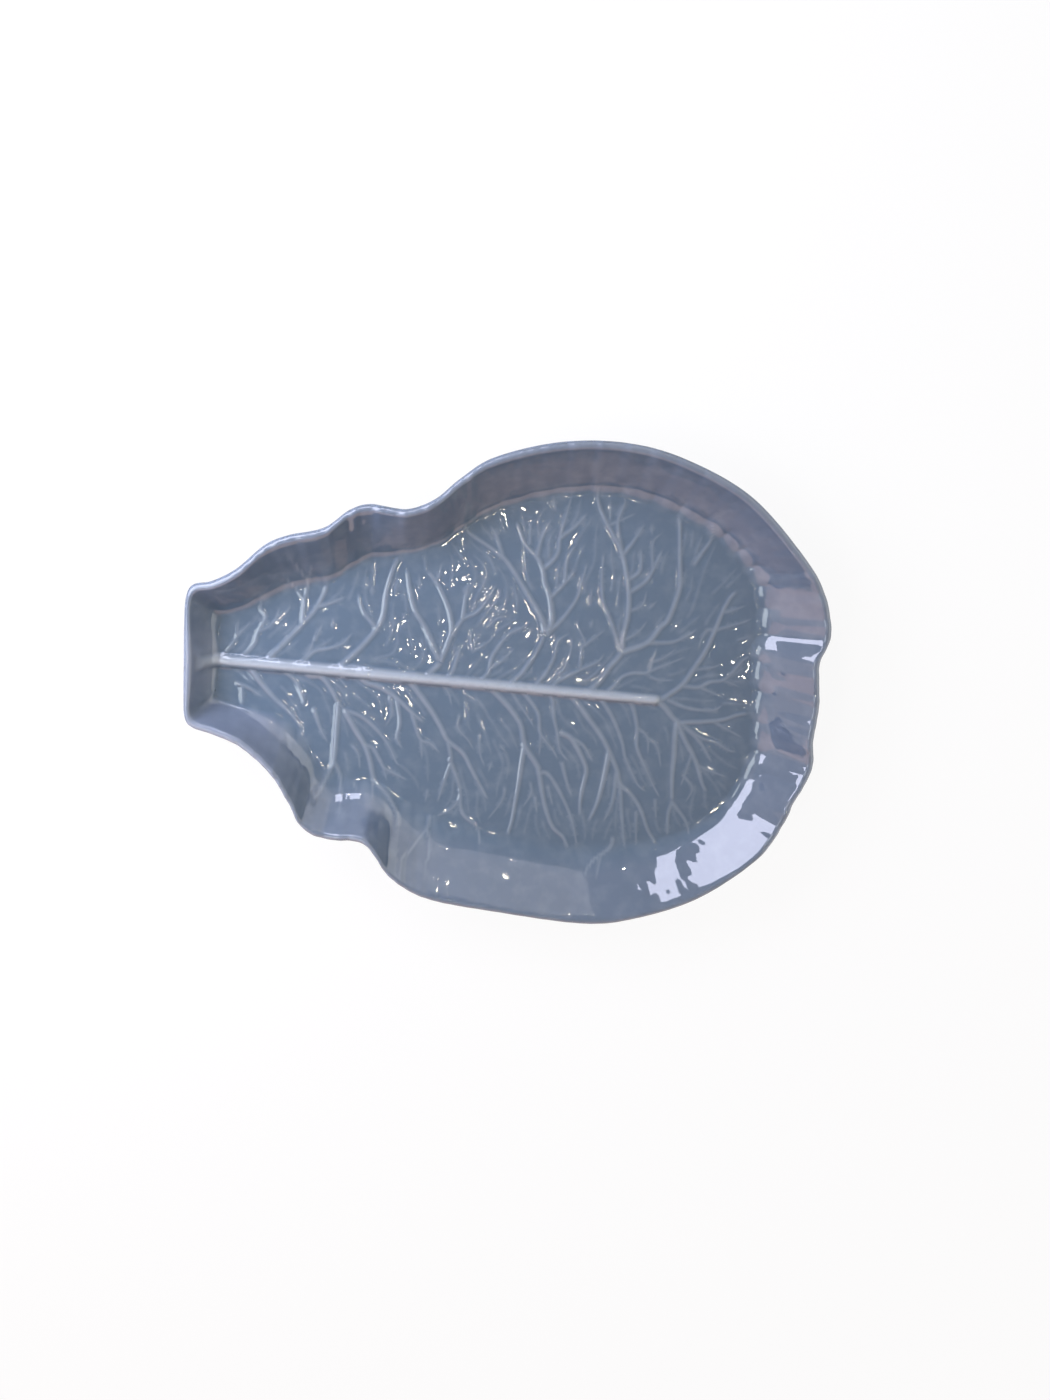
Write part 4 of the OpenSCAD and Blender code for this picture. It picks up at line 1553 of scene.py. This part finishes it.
@dataclass
class GlazeCoat(PlatePiece):
    """The glaze over the face, the lip and the outside, down to the top of the foot ring.

    The pairs say where an easing starts and how long it is: steep_rows in rows, steep_slopes in slopes. The
    two fades are in rows, and lip_at and lip_spread are shares of the lip's rows.
    """

    network: VeinNetwork
    finish: GlazeFinish = GlazeFinish()
    relief: ReliefTree = field(default_factory=ReliefTree)
    relief_fade: float = 5.0
    # The lip's pale band: thin glaze, partly a painted highlight.
    lip_strength: float = 0.12
    lip_at: float = 0.3
    lip_spread: float = 0.4
    # Where the painted light on the sloping wall eases in and out.
    steep_rows: Pair = (2.0, 8.0)
    steep_slopes: Pair = (0.9, 1.5)
    steep_fade: float = 4.0

    def build(self, middle: np.ndarray) -> bpy.types.Object:
        """Make the piece, with its veins raised."""
        leaf = self.leaf
        clay = leaf.glazed_rows()
        outer = raised_out(clay, leaf.glaze)
        outer[0] = clay[0] + [0.0, 0.0, leaf.glaze]
        outer[-1] = clay[-1] - [0.0, 0.0, leaf.glaze]
        mesh = PieceMesh(leaf.columns)
        skin = mesh.points(outer)
        mesh.skin(skin)
        well = mesh.sheet(skin[0], outer[0], leaf.floor_height + leaf.glaze, self.network.mesh_points())
        hidden = leaf.hidden_rows()
        lining = mesh.points(hidden)
        mesh.skin(lining, inward=True)
        mesh.skin(np.stack([skin[-1], lining[-1]]))
        mesh.sheet(lining[0], hidden[0], leaf.floor_height, down=True)
        piece = mesh.build("glaze_skin", middle)
        self.store_shares(piece, mesh.count, skin, well)
        wires = {rank: self.network.object_of(rank, middle) for rank in VeinRank}
        self.relief.apply(piece, wires, self.finish.material())
        return piece

    def store_shares(self, piece: bpy.types.Object, count: int, skin: np.ndarray, well: np.ndarray) -> None:
        """Store where the face may be raised, where the lip's pale band of thin glaze and painted highlight
        lies, and where the wall gets painted light for its slope.

        Args:
            piece: The smooth piece.
            count: How many points it has.
            skin: Point numbers of the outer rows.
            well: Point numbers of the well.
        """
        leaf = self.leaf
        mask, lip, steep = np.zeros((3, count))
        rows = np.arange(len(skin))
        top = leaf.wall_rows + self.lip_at * leaf.lip_rows
        near_top = smooth_step(1 - np.abs(rows - top) / (self.lip_spread * leaf.lip_rows))
        mask[well] = 1.0
        mask[skin] = falling(rows, leaf.wall_rows - 1, self.relief_fade)[:, None]
        # The lip's pale band near its top: thin glaze, partly a painted highlight.
        lip[skin] = (near_top * self.lip_strength)[:, None]
        # Painted light on the wall: paler where it slopes most, easing in above the foot and out over the
        # lip.
        steep[skin] = np.outer(
            rising(rows, *self.steep_rows) * falling(rows, leaf.wall_rows + leaf.lip_rows, self.steep_fade),
            rising(leaf.slope, *self.steep_slopes),
        )
        for name, values in (("face_mask", mask), ("lip_share", lip), ("steep_share", steep)):
            add_floats(piece.data, name, values)


@dataclass
class ClayBody(PlatePiece):
    """The fired clay casting, bare only on its foot ring."""

    finish: BareClayFinish = BareClayFinish()

    def build(self, middle: np.ndarray) -> bpy.types.Object:
        """Make the piece, from the well's floor over the lip and the foot ring to the base."""
        leaf = self.leaf
        rows = np.concatenate([leaf.hidden_rows(), leaf.foot_rows()])
        mesh = PieceMesh(leaf.columns)
        skin = mesh.points(rows)
        mesh.skin(skin)
        mesh.sheet(skin[0], rows[0], leaf.floor_height)
        mesh.sheet(skin[-1], rows[-1], leaf.foot_height, down=True)
        piece = mesh.build("clay_casting", middle)
        piece.data.materials.append(self.finish.material())
        return piece


@dataclass
class BaseGlaze(PlatePiece):
    """The glaze inside the foot ring, which creeps a little way down the ring's inner side."""

    creep: float = 0.9
    fillet: float = 1.4
    fillet_angles: tuple[float, ...] = (20.0, 45.0, 70.0, 90.0)
    finish: GlazeFinish = GlazeFinish(name="base_glaze", body=(0.110, 0.160, 0.225), roughness=0.10)

    def build(self, middle: np.ndarray) -> bpy.types.Object:
        """Make the piece, with a hollow fillet up to the foot ring."""
        leaf = self.leaf
        inset = leaf.foot_inset + leaf.foot_width
        low = leaf.foot_height - leaf.glaze
        rows = [leaf.drawn_in(inset, leaf.foot_height), leaf.drawn_in(inset, low - self.creep)]
        for angle in np.radians(self.fillet_angles):
            out, up = self.fillet * math.sin(angle), self.creep * math.cos(angle)
            rows.append(leaf.drawn_in(inset + out, low - up))
        mesh = PieceMesh(leaf.columns)
        skin = mesh.points(np.stack(rows))
        mesh.skin(skin)
        mesh.sheet(skin[-1], rows[-1], low, down=True)
        mesh.sheet(skin[0], rows[0], leaf.foot_height)
        piece = mesh.build("base_glaze_pool", middle)
        piece.data.materials.append(self.finish.material())
        return piece


@dataclass(frozen=True)
class Softbox:
    """One rectangular studio light, aimed at the plate."""

    name: str
    place: tuple[float, float, float]
    size: Pair
    radiance: float
    colour: Colour = (1.0, 1.0, 1.0)

    def make(self) -> None:
        """Make the light so that its face has the given radiance."""
        data = bpy.data.lights.new(self.name, "AREA")
        data.shape = "RECTANGLE"
        data.size, data.size_y = self.size
        data.energy = self.radiance * math.pi * self.size[0] * self.size[1]
        data.color = self.colour
        made = linked(self.name, data)
        made.location = self.place
        made.rotation_euler = Vector(self.place).to_track_quat("Z", "Y").to_euler()
        made.visible_camera = False


@dataclass(frozen=True)
class SmallLamps:
    """Many small warm lamps that glint in the glaze, all equally far from the plate."""

    distance: float = 1.7
    size: Pair = (0.010, 0.010)
    radiance: float = 380.0
    colour: Colour = (1.0, 0.90, 0.70)

    def lights(self) -> list[Softbox]:
        """Give the lamps, one for each of LAMP_DIRECTIONS."""
        lamps = []
        for k, (elevation, azimuth) in enumerate(LAMP_DIRECTIONS):
            lift, turn = math.radians(elevation), math.radians(azimuth)
            place = (
                self.distance * math.cos(lift) * math.cos(turn),
                self.distance * math.cos(lift) * math.sin(turn),
                self.distance * math.sin(lift),
            )
            lamps.append(Softbox(f"lamp_{k}", place, self.size, self.radiance, self.colour))
        return lamps


@dataclass
class Studio:
    """A pale floor, soft light and small lamps round the plate."""

    floor_size: float = 6.0
    floor_colour: Colour = (0.93, 0.93, 0.94)
    sky_cool: Colour = (0.07, 0.07, 0.07)
    sky_warm: Colour = (0.07, 0.06, 0.06)
    shadow_kept: float = 0.10
    lights: tuple[Softbox, ...] = (
        Softbox("low_panel", (-0.385, 0.177, 0.272), (0.50, 0.235), 10.0, (0.80, 0.81, 1.0)),
        Softbox("high_panel", (-0.172, 0.499, 0.387), (0.13, 0.16), 10.0, (0.80, 0.81, 1.0)),
        Softbox("key", (0.65, 1.10, 0.70), (1.4, 0.9), 1.00, (1.0, 0.96, 1.0)),
        Softbox("side", (1.50, -0.10, 0.60), (2.4, 1.3), 1.4),
        Softbox("fill", (-0.30, -1.45, 0.66), (3.2, 1.25), 0.90, (1.0, 0.52, 0.46)),
        Softbox("low_left", (-0.50, -0.45, 0.35), (0.6, 0.6), 0.5, (1.0, 0.80, 0.72)),
        Softbox("overhead", (-1.05, -0.50, 1.70), (0.9, 0.55), 4.6, (0.90, 0.97, 1.0)),
    )
    lamps: SmallLamps = SmallLamps()

    def build(self) -> None:
        """Make the floor, the lights and the world."""
        half = self.floor_size / 2 / MM
        corners = np.array([[x * half, y * half, 0.0] for x, y in ((-1, -1), (1, -1), (1, 1), (-1, 1))])
        floor = mesh_object("floor", corners, [(0, 1, 2, 3)])
        floor.data.materials.append(self.floor_material())
        floor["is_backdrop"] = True
        for light in (*self.lights, *self.lamps.lights()):
            light.make()
        self.make_world()
        bpy.context.scene.view_settings.view_transform = "Standard"

    def seen_directly(self, make: NodeMaker) -> Wire:
        """Tell camera, glossy and transmission rays from those that only light things."""
        path = make.tree.nodes.new("ShaderNodeLightPath").outputs
        camera, glossy, through = (
            Wire(make, path[f"Is {name} Ray"])
            for name in ("Camera", "Glossy", "Transmission")
        )
        return (camera + glossy + through).clamped()

    def floor_material(self) -> bpy.types.Material:
        """Make the floor's finish: white to the eye, with the plate's soft shadow."""
        shading = Shading("floor")
        make = shading.make
        plain = make.add("ShaderNodeBsdfDiffuse", Color=(*self.floor_colour, 1.0))
        white = make.add("ShaderNodeEmission", Color=(1.0, 1.0, 1.0, 1.0), Strength=1.0)
        share = self.seen_directly(make) * (1.0 - self.shadow_kept)
        mixed = make.add("ShaderNodeMixShader", i0=share, i1=plain, i2=white)
        make.feed(make.tree.nodes["Material Output"].inputs["Surface"], mixed)
        return shading.material

    def make_world(self) -> None:
        """Make the world: white to the eye, with soft light that is cooler from behind the plate."""
        world = bpy.data.worlds.new("studio")
        bpy.context.scene.world = world
        world.use_nodes = True
        make = NodeMaker(world.node_tree)
        way = make.add("ShaderNodeTexCoord", output="Generated")
        split = make.add("ShaderNodeSeparateXYZ", output="Y", Vector=way)
        sky = make.colour_mix((split * 0.5 + 0.5).clamped(), self.sky_warm, self.sky_cool)
        seen = make.colour_mix(self.seen_directly(make), sky, (1.0, 1.0, 1.0))
        make.feed(world.node_tree.nodes["Background"].inputs["Color"], seen)


def main() -> None:
    """Build the plate's pieces and the studio round it."""
    logging.basicConfig(level=logging.INFO, format="%(name)s: %(message)s")
    cad_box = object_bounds()
    for node in list(bpy.data.objects):
        if node.type in {"LIGHT", "CAMERA"}:
            bpy.data.objects.remove(node)
    leaf = LeafSurface()
    middle = leaf.middle(cad_box[1])
    camera = PhotoCamera()
    camera.make(middle)
    network = VeinNetwork(leaf, camera)
    for maker, node, slot in (
        (GlazeCoat(leaf, network), "glaze_coat", "pale_blue_glaze"),
        (ClayBody(leaf), "earthenware_body", "bare_earthenware"),
        (BaseGlaze(leaf), "base_glaze", "base_glaze"),
    ):
        piece = maker.build(middle)
        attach(piece, "root")
        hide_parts(node)
        LOG.info("%s: %d points, %d faces", piece.name, len(piece.data.vertices), len(piece.data.polygons))
    Studio().build()


if __name__ == "__main__":
    main()
